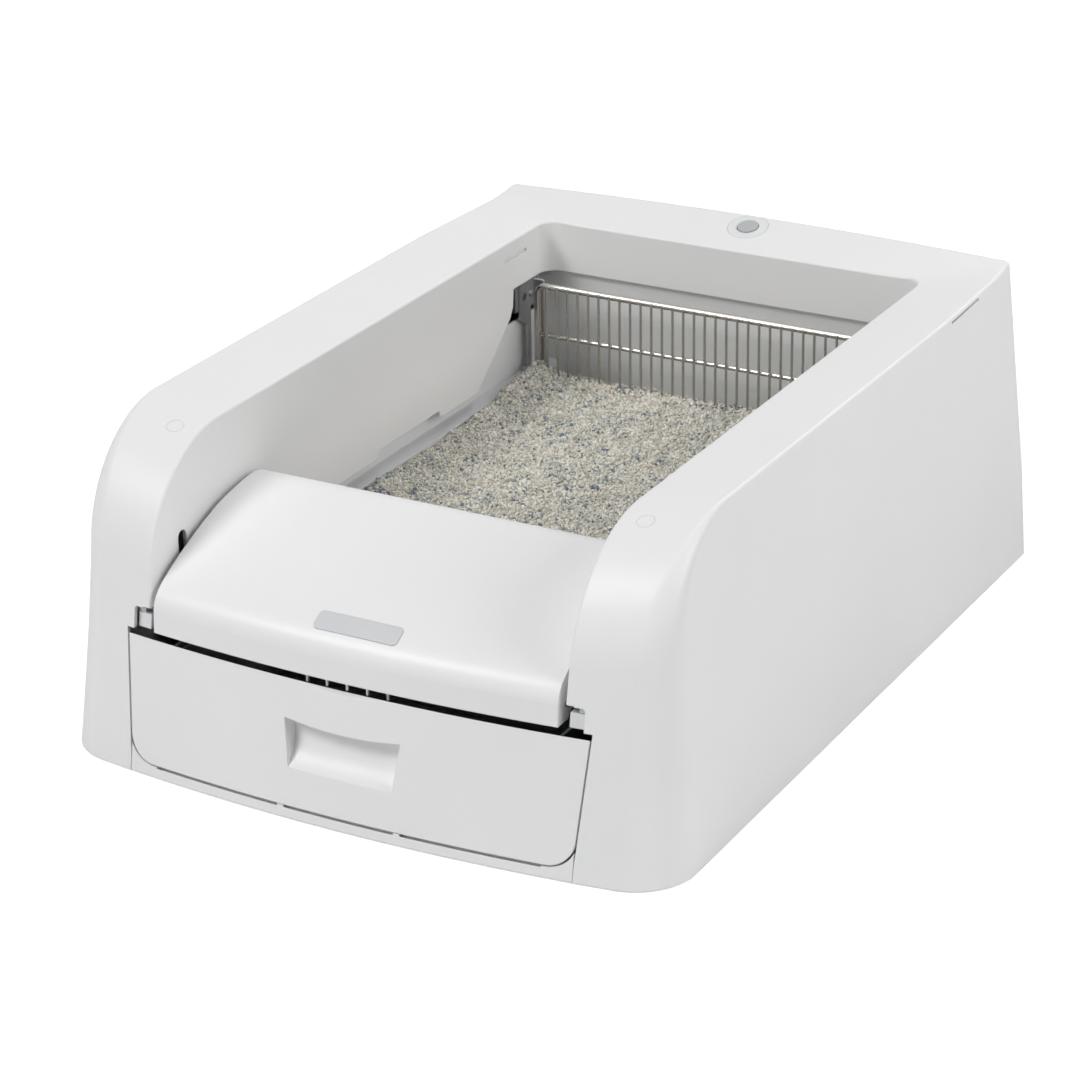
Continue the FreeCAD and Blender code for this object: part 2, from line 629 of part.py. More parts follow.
def footprint(name, inset, front_inset, bottom, top):
    """A slab with the shell's footprint, moved inwards."""
    side = half_width - number(inset)
    level = number(bottom)
    front = number(front_inset)
    front_right = Vector(side, front_face(side, 0) + front, level)
    front_left = Vector(-side, front_right.y, level)
    rear_right = Vector(side, rear_face(side) - number(inset), level)
    rear_left = Vector(-side, rear_right.y, level)
    front_arc = Part.Arc(front_left, Vector(0, front_face(0, 0) + front, level), front_right)
    rear_arc = Part.Arc(rear_right, Vector(0, rear_face(0) - number(inset), level), rear_left)
    outline = Part.Wire([front_arc.toShape(), Part.makeLine(front_right, rear_right), rear_arc.toShape(),
                         Part.makeLine(rear_left, front_left)])
    slab = Part.Face(outline).extrude(Vector(0, 0, number(top) - level))
    for ends, corner in ((1, size.rear_corner), (-1, size.low_corner)):
        uprights = [edge for edge in slab.Edges
                    if abs(edge.tangentAt(edge.FirstParameter).z) > 0.9 and edge.CenterOfMass.y * ends > 200]
        slab = slab.makeFillet(kept_round(corner, number(inset)), uprights)
    return shaped(name, slab)


rim_inset = size.pan_inset + size.pan_rim_wall
pan_floor = footprint("pan_floor", size.pan_inset, size.pan_front_inset, size.shell_floor, size.pan_rim)
pan_inside = footprint("pan_inside", rim_inset, size.pan_front_inset + size.pan_rim_wall,
                       pan_floor_top, size.pan_rim + 1)
sill_depth = number(size.pan_front_inset) + 0.5
sill_slab = bowed_slab("sill_slab", number(size.sill_half), number(size.shell_floor), number(size.sill_top),
                       sill_depth, 0)
sill_gap = plate("sill_gap", "XZ", [
    (-bay_narrow, size.front_bottom - size.front_gap), (bay_narrow, size.front_bottom - size.front_gap),
    (bay_wide, size.bay_top), (-bay_wide, size.bay_top),
], size.opening_rear / -2, reach)
document.recompute()
low_edges = [Vector(side * number(bay_narrow), -half_length, number(size.front_bottom)) for side in (1, -1)]
sill_gap = rounded("sill_gap_round", sill_gap, size.front_corner + size.front_gap, low_edges)
groove_top = number(size.front_bottom - size.front_gap)
groove_start = number(size.groove_start)
groove_rear = number(size.groove_rear)
groove_low = number(size.groove_low)
groove_fall = math.tan(math.radians(number(size.groove_slope)))
groove_lip = groove_top - number(size.groove_drop) + groove_start * groove_fall
sill_groove = bow_sweep("sill_groove", number(size.sill_half), groove_top, (
    (-groove_start, groove_lip), ((groove_lip - groove_low) / groove_fall, groove_low),
    (groove_rear, groove_low), (groove_rear, number(size.sill_top)), (-groove_start, number(size.sill_top)),
), number(size.groove_sweep))
sill_bar = cut("sill_bar", sill_slab, sill_gap, sill_groove)
sill_tabs = []
for side in (1, -1):
    x = side * size.sill_tab_at
    front = front_face(number(x), number(size.sill_tab_top))
    sill_tabs.append(box("sill_tab", (x - size.sill_tab_half, front, size.shell_floor),
                         (x + size.sill_tab_half, front + sill_depth, size.sill_tab_top)))
sill = fuse("sill", sill_bar, *sill_tabs)
pan_parts = [cut("pan_tub", pan_floor, pan_inside), sill]
rib_rear = size.tray_rear - 6
for side in (1, -1):
    tag = "right" if side > 0 else "left"
    pan_parts.append(box("runner_" + tag, (side * size.runner_at - size.runner_half, size.drawer_front_face,
                                           size.shell_floor),
                         (side * size.runner_at + size.runner_half, size.bay_wall_at, size.runner_top)))
    pan_parts.append(box("rib_" + tag, (side * size.rib_at - size.rib_half, size.bay_wall_at,
                                        size.shell_floor),
                         (side * size.rib_at + size.rib_half, rib_rear, size.tray_bottom)))
pan_parts.append(box("rib_middle", (-size.rib_half, size.bay_wall_at, size.shell_floor),
                     (size.rib_half, rib_rear, size.tray_bottom)))
pan_parts.append(box("bay_wall", (-size.drawer_half, size.bay_wall_at, size.shell_floor),
                     (size.drawer_half, size.bay_wall_at + size.bay_wall, size.tray_bottom)))
for x in (size.board_left + 5, size.board_right - 5):
    for y in (size.board_front + 5, size.board_rear - 5):
        pan_parts.append(rod("post", size.post_radius, (x, y, size.shell_floor),
                             size.board_height - size.shell_floor))
seats = []
screws = []
for row, where in enumerate(lug_rows):
    for side in (1, -1):
        tag = "%d_%d" % (row, side + 1)
        x = side * size.lug_at
        pan_parts.append(rod("boss_" + tag, size.screw_head + 1, (x, where, size.shell_floor),
                             size.pan_rim - size.shell_floor))
        seats.append(rod("seat_" + tag, size.screw_head + 0.2, (x, where, 0),
                         size.shell_floor + size.screw_head_height + 0.2))
        seats.append(rod("screw_hole_" + tag, size.screw_shaft + 0.2, (x, where, 0), size.pan_rim * 2))
        head = rod("head_" + tag, size.screw_head, (x, where, size.shell_floor + 0.2), size.screw_head_height)
        shaft = rod("shaft_" + tag, size.screw_shaft, (x, where, size.shell_floor + 0.2),
                    size.pan_rim + size.lug_height - size.shell_floor - 1)
        screws.append(fuse("screw_" + tag, head, shaft))
pan_trimmed = common("pan_in_outline", fuse("pan_parts", *[part for part in pan_parts if part is not sill]),
                     footprint("pan_outline", size.pan_inset, size.pan_front_inset, size.shell_floor,
                               size.tray_bottom))
piece("base_pan", cut("base_pan", fuse("pan_whole", pan_trimmed, sill), *seats))
piece("frame_screws", group("frame_screws", *screws))

# Feet under the pan
feet = []
for side in (1, -1):
    for y in (size.foot_front, size.foot_middle, size.foot_rear):
        feet.append(rod("foot", size.foot_radius, (side * size.foot_side, y, 0), size.foot_height))
piece("rubber_feet", group("rubber_feet", *feet))

# Litter tray: tapered tub, flanges beside it, ramp in front, tall back
tub_low = size.tray_low_half + size.tray_wall
tub_high = size.tray_high_half + size.tray_wall
tub = tapered("tub", tub_low, tub_high, size.tray_bottom, size.tray_flange + size.tray_flange_thick,
              size.tray_front, size.tray_rear)
hollow = tapered("hollow", size.tray_low_half, size.tray_high_half, size.tray_floor,
                 size.tray_flange + size.tray_flange_thick, size.ramp_foot - 60,
                 size.tray_rear - size.tray_back_wall)
ramp = plate("ramp", "YZ", [
    (size.tray_front, size.tray_floor - 1), (size.ramp_foot, size.tray_floor - 1),
    (size.ramp_crest, size.ramp_top), (size.tray_front, size.ramp_top),
], -tub_low, tub_low * 2)
ramp_hollow = plate("ramp_hollow", "YZ", [
    (size.tray_front + size.ramp_skin, size.tray_bottom - 1), (size.ramp_foot - 3, size.tray_bottom - 1),
    (size.ramp_crest - 1.8, size.ramp_top - 8), (size.tray_front + size.ramp_skin, size.ramp_top - 8),
], -tub_low + size.ramp_skin, tub_low * 2 - size.ramp_skin * 2)
front_wall = box("front_wall", (-tub_low, size.tray_front, size.tray_bottom),
                 (tub_low, size.tray_front + size.ramp_skin, size.ramp_top))
back = box("back", (-size.tray_back_half, size.tray_rear - size.tray_back_wall, size.tray_bottom),
           (size.tray_back_half, size.tray_rear, size.tray_back_top))
tray_parts = [cut("tub_shell", tub, hollow), ramp, front_wall, back]
flange_top = size.tray_flange + size.tray_flange_thick
flange_spans = ((size.tray_high_half, size.tray_flange_half),
                (-size.tray_flange_half, -size.tray_high_half))
for low, high in flange_spans:
    tray_parts.append(box("flange", (low, size.tray_front, size.tray_flange),
                          (high, size.tray_rear, flange_top)))
for low in (size.tray_flange_half - size.tray_flange_thick, -size.tray_flange_half):
    tray_parts.append(box("upstand", (low, size.tray_front, size.tray_flange),
                          (low + size.tray_flange_thick, size.tray_rear, size.tray_upstand)))
    tray_parts.append(box("upstand_rear", (low, size.upstand_step, size.tray_flange),
                          (low + size.tray_flange_thick, size.tray_rear, size.upstand_high)))
piece("litter_tray", cut("litter_tray", fuse("tray_parts", *tray_parts), ramp_hollow))

# Litter, one solid with a furrow for each tine to run in
litter_front = size.ramp_foot + size.litter_gap * 3
litter_block = plate("litter_block", "YZ", [
    (litter_front, size.tray_floor + size.litter_gap),
    (size.litter_rear, size.tray_floor + size.litter_gap),
    (size.litter_rear, size.litter_rear_height),
    (litter_front + (size.litter_front_height - size.tray_floor) * (
        (size.ramp_crest - size.ramp_foot) / (size.ramp_top - size.tray_floor)) + 1,
     size.litter_front_height),
], -size.litter_half, size.litter_half * 2)
tine_count = int(number(size.tine_count))
tine_places = [(index - (tine_count - 1) / 2) * size.tine_pitch for index in range(tine_count)]
furrows = [box("furrow", (x - size.furrow_half, size.furrow_front, size.furrow_bottom),
               (x + size.furrow_half, size.furrow_rear, size.litter_rear_height + 1)) for x in tine_places]
piece("litter_bed", cut("litter_bed", litter_block, group("furrows", *furrows)))

# Rake: two rods, their bent ends, tines in front
tine_y = size.rake_plane - size.top_rod_radius - size.tine_radius


def bent_rod(name, radius, half, height, leg_bottom, bend):
    """A round bar across the tray whose ends turn down in an arc."""
    y = number(size.rake_plane)
    corner = half - bend
    left = [Vector(-half, y, leg_bottom), Vector(-half, y, height - bend), Vector(-corner, y, height)]
    right = [Vector(corner, y, height), Vector(half, y, height - bend), Vector(half, y, leg_bottom)]
    inset = bend * (1 - math.sqrt(0.5))
    middles = [Vector(-half + inset, y, height - inset), Vector(half - inset, y, height - inset)]
    path = Part.Wire([
        Part.makeLine(left[0], left[1]), Part.Arc(left[1], middles[0], left[2]).toShape(),
        Part.makeLine(left[2], right[0]), Part.Arc(right[0], middles[1], right[1]).toShape(),
        Part.makeLine(right[1], right[2]),
    ])
    ring = Part.Wire(Part.makeCircle(radius, left[0], Vector(0, 0, 1)))
    return shaped(name, path.makePipeShell([ring], True, False))


top_rod = bent_rod("top_rod", number(size.top_rod_radius), number(size.top_rod_half), number(size.top_rod),
                   number(size.rod_leg_bottom), number(size.rod_bend))
piece("rake_top_rod", top_rod)
cross_half = size.top_rod_half - size.top_rod_radius
piece("rake_cross_rod", rod("rake_cross_rod", size.cross_rod_radius,
                            (-cross_half, size.rake_plane - 0.5, size.cross_rod), cross_half * 2, "x"))
tines = [rod("tine", size.tine_radius, (x, tine_y, size.tine_bottom), size.tine_top - size.tine_bottom)
         for x in tine_places]
piece("rake_tines", group("rake_tines", *tines))

# Rake brackets: an upright inside the tray, a foot under the skirt, a plate outside it
plate_inner = size.bracket_outer_face - size.bracket_sheet
upright_front = size.rake_plane + size.top_rod_radius
upright = box("upright", (size.bracket_inner, upright_front, size.bracket_foot),
              (size.bracket_upright_outer, upright_front + size.bracket_upright_sheet, size.bracket_top))
foot = box("bracket_foot", (size.bracket_inner, size.bracket_foot_front, size.bracket_foot),
           (size.bracket_outer_face, size.bracket_rear, size.bracket_foot_top))
outer_plate = plate("outer_plate", "YZ", [
    (size.bracket_leg_front, size.bracket_foot), (size.bracket_rear, size.bracket_foot),
    (size.bracket_rear, size.bracket_tail_bottom), (size.bracket_tail_rear, size.bracket_tail_bottom),
    (size.bracket_tail_rear, size.bracket_plate_top), (size.bracket_front, size.bracket_plate_top),
    (size.bracket_front, size.bracket_step_front), (size.bracket_leg_front, size.bracket_step_rear),
], plate_inner, size.bracket_sheet)
bracket_hole = rod("bracket_hole", size.bracket_hole, (plate_inner - 5, size.bracket_hole_at,
                                                       size.rail_height), 4 + size.bracket_sheet * 2, "x")
screw_line = (size.carriage_screw_front, size.carriage_screw_rear)
screw_bores = [rod("carriage_screw_bore", size.screw_shaft, (plate_inner - 1, y, size.rail_height), 16, "x")
               for y in screw_line]
bracket = cut("bracket", fuse("bracket_sheets", upright, foot, outer_plate), bracket_hole, *screw_bores)
piece("rake_bracket_right", bracket)
piece("rake_bracket_left", mirror("bracket_left", bracket))

# Carriages on the guide rails, with a fork round the belt's lower strand
block = box("carriage_block", (size.bracket_outer_face, size.carriage_front, size.carriage_bottom),
            (size.carriage_outer, size.carriage_rear, size.carriage_top))
rail_bore = rod("rail_bore", size.rail_radius + size.rail_gap, (size.rail_at, 0, size.rail_height),
                size.overall_length / 2, "y")
carriage = cut("carriage", block, rail_bore, *screw_bores)
piece("carriage_right", carriage)
piece("carriage_left", mirror("carriage_mirror", carriage))
clamp = cut("clamp", box("clamp_block", (size.clamp_inner, size.clamp_front, size.carriage_top),
                         (size.clamp_outer, size.clamp_rear, size.clamp_top)),
            box("clamp_slot", (size.clamp_slot_inner, size.clamp_front - 1, size.clamp_slot_bottom),
                (size.clamp_outer + 1, size.clamp_rear + 1, size.clamp_slot_top)))
piece("belt_clamps", group("belt_clamps", clamp, mirror("clamp_left", clamp)))
screw_parts = []
for y in screw_line:
    head = rod("carriage_head", 2.6, (plate_inner - 1.3, y, size.rail_height), 1.3, "x")
    shaft = rod("carriage_shaft", size.screw_shaft, (plate_inner, y, size.rail_height), 14, "x")
    screw_parts.append(fuse("carriage_screw", head, shaft))
piece("carriage_screws", group("carriage_screws", *screw_parts,
                               *[mirror("carriage_screw_left", item) for item in screw_parts]))

# Guide rails and the side frames that carry them
rail = rod("rail", size.rail_radius, (size.rail_at, size.rail_front, size.rail_height),
           size.rail_rear - size.rail_front, "y")
piece("guide_rail_right", rail)
piece("guide_rail_left", mirror("rail_left", rail))
frame_outer = size.frame_inner + size.frame_sheet
sheet_parts = [
    box("frame_sheet_plate", (size.frame_inner, size.frame_front, pan_floor_top),
        (frame_outer, size.frame_rear, size.frame_top)),
    box("frame_foot", (size.frame_foot_inner, size.frame_front, pan_floor_top),
        (frame_outer, size.frame_rear - 20, pan_floor_top + size.frame_foot_height)),
]
for y in (size.front_tab, size.rear_tab):
    sheet_parts.append(box("tab", (size.tab_inner, y, size.tab_bottom),
                           (frame_outer, y + size.tab_sheet, size.tab_top)))
frame_holes = [
    rod("rail_hole", size.rail_radius, (size.rail_at, size.rail_front - 5, size.rail_height), 500, "y"),
    rod("bush_hole", size.bush_radius, (size.frame_inner - 5, size.shaft_at, size.shaft_height), 20, "x"),
    rod("pin_hole", size.pin_radius, (size.frame_inner - 5, size.idler_at, size.shaft_height), 20, "x"),
]
side_frame = cut("side_frame", fuse("side_frame_sheets", *sheet_parts), *frame_holes)
piece("side_frame_right", side_frame)
piece("side_frame_left", mirror("side_frame_mirror", side_frame))

# Belt drive: shaft, pulleys, idlers and the two belts
shaft_line = (size.shaft_at, size.shaft_height)
shaft_half = size.bush_outer - 1
piece("drive_shaft", rod("drive_shaft", size.shaft_radius, (-shaft_half, *shaft_line), shaft_half * 2, "x"))


def pulley(name, y, bore, hub):
    """A flanged belt pulley on the right side."""
    start = size.pulley_inner
    span = size.pulley_outer - size.pulley_inner
    parts = [rod(name + "_drum", size.pulley_radius, (start, y, size.shaft_height), span, "x"),
             rod(name + "_inner_flange", size.flange_radius, (start, y, size.shaft_height),
                 size.flange_thick, "x"),
             rod(name + "_outer_flange", size.flange_radius, (size.pulley_outer - size.flange_thick, y,
                                                              size.shaft_height), size.flange_thick, "x")]
    if hub:
        parts.append(rod(name + "_hub", size.hub_radius, (start - size.hub_long, y, size.shaft_height),
                         size.hub_long, "x"))
    hole = rod(name + "_bore", bore, (start - 10, y, size.shaft_height), 30, "x")
    return cut(name, fuse(name + "_solid", *parts), hole)


drive_pulley = pulley("drive_pulley", size.shaft_at, size.shaft_radius, True)
piece("drive_pulley_right", drive_pulley)
piece("drive_pulley_left", mirror("drive_pulley_mirror", drive_pulley))
idler = pulley("idler", size.idler_at, size.pin_radius + size.running_gap, False)
piece("idler_pulley_right", idler)
piece("idler_pulley_left", mirror("idler_mirror", idler))
pin_start = (size.pin_head_at, size.idler_at, size.shaft_height)
pin = fuse("idler_pin", rod("pin_shaft", size.pin_radius, pin_start, frame_outer - size.pin_head_at, "x"),
           rod("pin_head", size.pin_head, pin_start, size.pin_head_long, "x"))
piece("idler_pins", group("idler_pins", pin, mirror("idler_pin_left", pin)))


def belt_loop(name, radius, low, high):
    """A flat-sided loop round both pulley axes."""
    span = size.shaft_at - size.idler_at
    return fuse(name,
                rod(name + "_front", radius, (low, size.idler_at, size.shaft_height), high - low, "x"),
                rod(name + "_rear", radius, (low, size.shaft_at, size.shaft_height), high - low, "x"),
                box(name + "_middle", (low, size.idler_at, size.shaft_height - radius),
                    (high, size.idler_at + span, size.shaft_height + radius)))


belt = cut("belt", belt_loop("belt_outside", size.belt_outer_radius, size.belt_inner_face,
                             size.belt_outer_face),
           belt_loop("belt_inside", size.belt_inner_radius, size.belt_inner_face - 1,
                     size.belt_outer_face + 1))
piece("drive_belt_right", belt)
piece("drive_belt_left", mirror("belt_left", belt))
bush = cut("bush", fuse("bush_solid",
                        rod("bush_body", size.bush_radius, (size.bush_flange_inner, *shaft_line),
                            size.bush_outer - size.bush_flange_inner, "x"),
                        rod("bush_collar", size.bush_flange, (size.bush_flange_inner, *shaft_line),
                            size.frame_inner - size.bush_flange_inner, "x")),
           rod("bush_bore", size.shaft_radius + size.running_gap, (size.bush_flange_inner - 1, *shaft_line),
               20, "x"))
piece("shaft_bushes", group("shaft_bushes", bush, mirror("bush_left", bush)))

# Gears and motor; a tooth of the pinion stands in a gap of the gear
gear_teeth = int(number(size.gear_teeth))
pinion_teeth = int(number(size.pinion_teeth))
gear_disc = gear_blank("gear_disc", gear_teeth, number(size.gear_left), number(size.gear_width),
                       number(size.shaft_height), -math.pi / 2 + math.pi / gear_teeth)
gear_hub = rod("gear_hub", size.hub_radius + 1, (size.gear_left - 5, *shaft_line), 5, "x")
gear_bore = rod("gear_bore", size.shaft_radius, (size.gear_left - 10, *shaft_line), 30, "x")
piece("drive_gear", cut("drive_gear", fuse("gear_solid", gear_disc, gear_hub), gear_bore))
pinion_disc = gear_blank("pinion_disc", pinion_teeth, number(size.gear_left), number(size.gear_width),
                         number(size.motor_height), math.pi / 2)
motor_line = (size.shaft_at, size.motor_height)
pinion_shaft = rod("pinion_shaft", size.motor_shaft, (size.gear_left - 2, *motor_line), 22, "x")
piece("motor_pinion", fuse("motor_pinion", pinion_disc, pinion_shaft))
motor_body = fuse("motor_solid",
                  rod("motor_can", size.motor_radius, (size.motor_left, *motor_line),
                      size.motor_right - size.motor_left, "x"),
                  rod("motor_cap", size.motor_cap_radius, (size.motor_right, *motor_line),
                      size.motor_cap_long, "x"))
motor_bore = rod("motor_bore", size.motor_shaft + size.running_gap, (size.motor_left - 1, *motor_line), 14,
                 "x")
piece("gear_motor", cut("gear_motor", motor_body, motor_bore))
mount_solid = fuse("mount_solid",
                   box("mount_upright", (size.mount_left, size.mount_front, pan_floor_top),
                       (size.motor_left, size.mount_rear, size.motor_height + size.motor_radius)),
                   box("mount_foot", (size.mount_left, size.mount_front, pan_floor_top),
                       (size.mount_foot, size.mount_rear, pan_floor_top + 3)))
mount_hole = rod("mount_hole", size.motor_shaft + 1, (size.mount_left - 1, *motor_line), 10, "x")
piece("motor_mount", cut("motor_mount", mount_solid, mount_hole))

# Control board, power inlet and limit switches
board_top = size.board_height + size.board_thick
board = box("board", (size.board_left, size.board_front, size.board_height),
            (size.board_right, size.board_rear, board_top))
chips = [
    box("board_plug", (size.board_left + 4, size.board_front + 3, board_top),
        (size.board_left + 14, size.board_front + 15, board_top + 9)),
    box("board_chip", (size.board_left + 28, size.board_front + 8, board_top),
        (size.board_left + 40, size.board_front + 20, board_top + 1.6)),
    rod("board_capacitor", 5, (size.board_right - 14, size.board_front + 15, board_top), 14),
]
piece("control_board", fuse("control_board", board, *chips))
inlet = cut("inlet", rod("inlet_body", size.inlet_radius, (size.inlet_at, inlet_rear - size.inlet_long,
                                                           size.inlet_height), size.inlet_long, "y"),
            rod("inlet_socket", size.inlet_hole, (size.inlet_at, inlet_rear - size.inlet_long + 4,
                                                  size.inlet_height), size.inlet_long, "y"))
piece("dc_inlet", inlet)
switches = []
for y in (size.switch_front, size.switch_rear):
    body = box("limit_body", (-size.frame_inner, y, size.switch_bottom),
               (-size.switch_inner, y + size.switch_long, size.switch_top))
    switches.append(body)
piece("limit_switches", group("limit_switches", *switches))

# Push button in the rear band
bezel_solid = fuse("bezel_solid", on_band("bezel_disc", size.bezel_radius, 0.02 - size.bezel_thick, 6),
                   on_band("bezel_tube", size.bezel_tube, -size.bezel_tube_long, 0))
bezel_hole = on_band("bezel_bore", size.bezel_bore, -size.bezel_tube_long - 5, 9)
bezel_inside = on_band("bezel_inside", size.bezel_tube - size.bezel_tube_wall,
                       -size.bezel_tube_long - 5, -size.cap_flange_top + 0.4)
piece("button_bezel", common("button_bezel", cut("bezel_cut", bezel_solid, bezel_hole, bezel_inside),
                             outer_form))
cap_flange_bottom = -size.cap_flange_top - size.cap_flange_thick
piece("button_cap", fuse("button_cap",
                         on_band("cap_disc", size.cap_radius, cap_flange_bottom, size.cap_rise),
                         on_band("cap_collar", size.cap_flange, cap_flange_bottom, -size.cap_flange_top)))
piece("button_spring", cut("button_spring",
                           on_band("spring_outside", size.spring_radius, -size.spring_bottom,
                                   cap_flange_bottom),
                           on_band("spring_inside", size.spring_radius - size.spring_wall,
                                   -size.spring_bottom - 1, cap_flange_bottom + 1)))
switch_low = on_band("switch_body", size.bezel_tube - size.bezel_tube_wall - 0.3, -size.button_switch_bottom,
                     -size.spring_bottom)
plunger = on_band("plunger", size.plunger_radius, -size.spring_bottom - 1, -size.plunger_top)
piece("button_switch", fuse("button_switch", switch_low, plunger))

# Hinge blocks in the notches


def hinge_level(name, inner, bottom, top, recess):
    """One level of the hinge block, set back from the bowed front."""
    level = box(name + "_box", (inner, -reach, bottom), (size.block_outer, size.block_rear, top))
    front = bowed_slab(name + "_front", number(size.block_outer), number(bottom), number(top), 60,
                       number(recess))
    return common(name, level, front)


hinge_base = hinge_level("hinge_base", size.block_inner, size.block_bottom, size.block_shelf,
                         size.block_recess)
hinge_cheek = hinge_level("hinge_cheek", size.block_cheek, size.block_bottom + 1, size.block_top,
                          size.block_upper_recess)
hinge_back = box("hinge_back", (size.block_inner, size.block_pocket_rear, size.block_bottom),
                 (size.block_outer, size.block_rear, size.block_top))
hinge_ear = box("hinge_ear", (size.block_ear_inner, size.block_ear_front, size.block_bottom + 6),
                (size.block_ear_outer, size.block_ear_rear, size.block_ear_top))
hinge_bore = rod("hinge_bore", size.lid_pin + size.running_gap, (size.block_inner - 1, size.hinge_at,
                                                                 size.hinge_height),
                 size.lid_pin_outer - size.block_inner + 2, "x")
hinge_block = cut("hinge_block", fuse("hinge_solid", hinge_base, hinge_cheek, hinge_back, hinge_ear),
                  hinge_bore)
piece("hinge_block_right", hinge_block)
piece("hinge_block_left", mirror("hinge_block_mirror", hinge_block))

# Bin lid: a bent sheet whose nose bows forward, with an end flange at each side
LID_TOP = (
    (-153.5, 168.5), (-160.0, 171.5), (-170.0, 172.3), (-188.0, 170.3), (-208.0, 166.6), (-225.0, 161.4),
    (-244.0, 154.2), (-261.0, 146.8), (-275.0, 139.8), (-284.0, 134.4), (-290.0, 129.3), (-293.6, 123.5),
    (-295.0, 118.0),
)
END_FOOT = 13.0
END_DEPTH = 9.0
END_MIDDLE = (-262.0, 122.0)
lip_bottom = number(size.lid_lip)
lid_end = number(size.lid_half)
lip_y = front_face(lid_end, lip_bottom) - 0.3


def bow_at(x, y):
    """How far the lid's nose stands forward of its ends, fading out towards the rear."""
    share = min(max((-225.0 - y) / 60.0, 0.0), 1.0)
    smooth = share * share * (3 - 2 * share)
    return number(size.lid_bow) * (1 - (x / lid_end) ** 2) * smooth


def lid_curve(x, inset):
    """The points of the lid's top curve at one x, moved inwards, and the curve through them."""
    outer = [Vector(x, y, z) for y, z in LID_TOP]
    edge = Part.BSplineCurve()
    edge.interpolate(outer)
    points = []
    for index, point in enumerate(outer):
        along = Vector(*edge.tangent(edge.parameter(point))[0])
        below = Vector(0, -along.z, along.y)
        if below.z > 0:
            below = -below
        if index == len(outer) - 1:
            below = Vector(0, 1, 0)
        points.append(point + below.normalize() * inset - Vector(0, bow_at(x, point.y), 0))
    curve = Part.BSplineCurve()
    curve.interpolate(points)
    return points, curve.toShape()


def lid_section(x, inset):
    """The lid's outline at one x: outer curve, lip, inner curve, rear edge."""
    outline, top_curve = lid_curve(x, 0)
    inner, low_curve = lid_curve(x, inset)
    lip_front = Vector(x, lip_y - bow_at(x, lip_y), lip_bottom)
    lip_rear = lip_front + Vector(0, inset, 0)
    return Part.Wire([top_curve, Part.makeLine(outline[-1], lip_front), Part.makeLine(lip_front, lip_rear),
                      Part.makeLine(lip_rear, inner[-1]), low_curve, Part.makeLine(inner[0], outline[0])])


def lid_end_face(x, inset):
    """The side plate of the lid at one x, from the middle of the sheet down to its open underside."""
    outline, curve = lid_curve(x, inset)
    corners = [outline[-1], Vector(x, lip_y + inset, lip_bottom), Vector(x, lip_y + END_FOOT, lip_bottom),
               Vector(x, *END_MIDDLE), Vector(x, outline[0].y, outline[0].z - END_DEPTH), outline[0]]
    sides = [Part.makeLine(start, finish) for start, finish in zip(corners, corners[1:])]
    return Part.Face(Part.Wire([curve, *sides]))


stations = [lid_end * share for share in (-1, -0.75, -0.4, 0, 0.4, 0.75, 1)]
sheet_inset = number(size.lid_sheet)
lid_sheet = shaped("lid_sheet", Part.makeLoft([lid_section(x, sheet_inset) for x in stations], True, False))
flanges = []
for side in (1, -1):
    end_face = lid_end_face(side * lid_end, sheet_inset / 2)
    flanges.append(shaped("lid_flange", end_face.extrude(Vector(-side * sheet_inset, 0, 0))))
ribs = []
for index in (-2, -1, 0, 1, 2):
    x = index * size.lid_rib_pitch
    nose = front_face(number(x), lip_bottom) + size.lid_rib_behind
    ribs.append(box("lid_rib_top", (x - size.lid_rib_half, nose - 3, size.lid_lip),
                    (x + size.lid_rib_half, nose + size.lid_rib_thick, size.lid_lip + 3.5)))
    ribs.append(box("lid_rib", (x - size.lid_rib_half, nose, size.lid_rib_bottom),
                    (x + size.lid_rib_half, nose + size.lid_rib_thick, size.lid_lip + 1)))
lid_rear = LID_TOP[0][0]
lid_plan_long = lid_rear + half_length
lid_plan = Part.makeBox(lid_end * 2, lid_plan_long, BOX_HIGH, Vector(-lid_end, -half_length, 0))
lid_corners = [edge for edge in lid_plan.Edges
               if abs(edge.tangentAt(edge.FirstParameter).z) > 0.9 and edge.CenterOfMass.y > lid_rear - 1]
lid_plan = shaped("lid_plan", lid_plan.makeFillet(number(size.lid_corner), lid_corners))
lid_whole = fuse("lid_whole", lid_sheet, *flanges, *ribs)
piece("bin_lid", common("bin_lid", lid_whole, lid_plan))


def badge_section(x):
    """A thin band that lies on the lid's top curve at one x."""
    surface = [Vector(x, y - bow_at(x, y), z) for y, z in LID_TOP]
    outward = Vector(0, -0.5, 0.86)
    low = [point + outward * number(size.badge_gap) for point in surface]
    high = [point + outward * number(size.badge_rise) for point in surface]
    curves = []
    for points in (low, high):
        curve = Part.BSplineCurve()
        curve.interpolate(points)
        curves.append(curve.toShape())
    return Part.Wire([curves[0], Part.makeLine(low[-1], high[-1]), curves[1],
                      Part.makeLine(high[0], low[0])])


badge_half = number(size.badge_half)
badge_at = number(size.badge_at)
badge_spare = badge_half + 2
badge_band = shaped("badge_band", Part.makeLoft([badge_section(badge_at + x)
                                                 for x in (-badge_spare, 0, badge_spare)], True, False))
badge_front = number(size.badge_front)
badge_deep = number(size.badge_rear) - badge_front
badge_corner = Vector(badge_at - badge_half, badge_front, 0)
badge_tile = Part.makeBox(badge_half * 2, badge_deep, BOX_HIGH, badge_corner)
badge_corners = [edge for edge in badge_tile.Edges if abs(edge.tangentAt(edge.FirstParameter).z) > 0.9]
badge_tile = shaped("badge_tile", badge_tile.makeFillet(number(size.badge_corner), badge_corners))
piece("lid_badge", common("lid_badge", badge_band, badge_tile))
pins = []
for side in (1, -1):
    start = size.lid_half if side > 0 else -size.lid_pin_outer
    pins.append(rod("lid_pin", size.lid_pin, (start, size.hinge_at, size.hinge_height),
                    size.lid_pin_outer - size.lid_half, "x"))
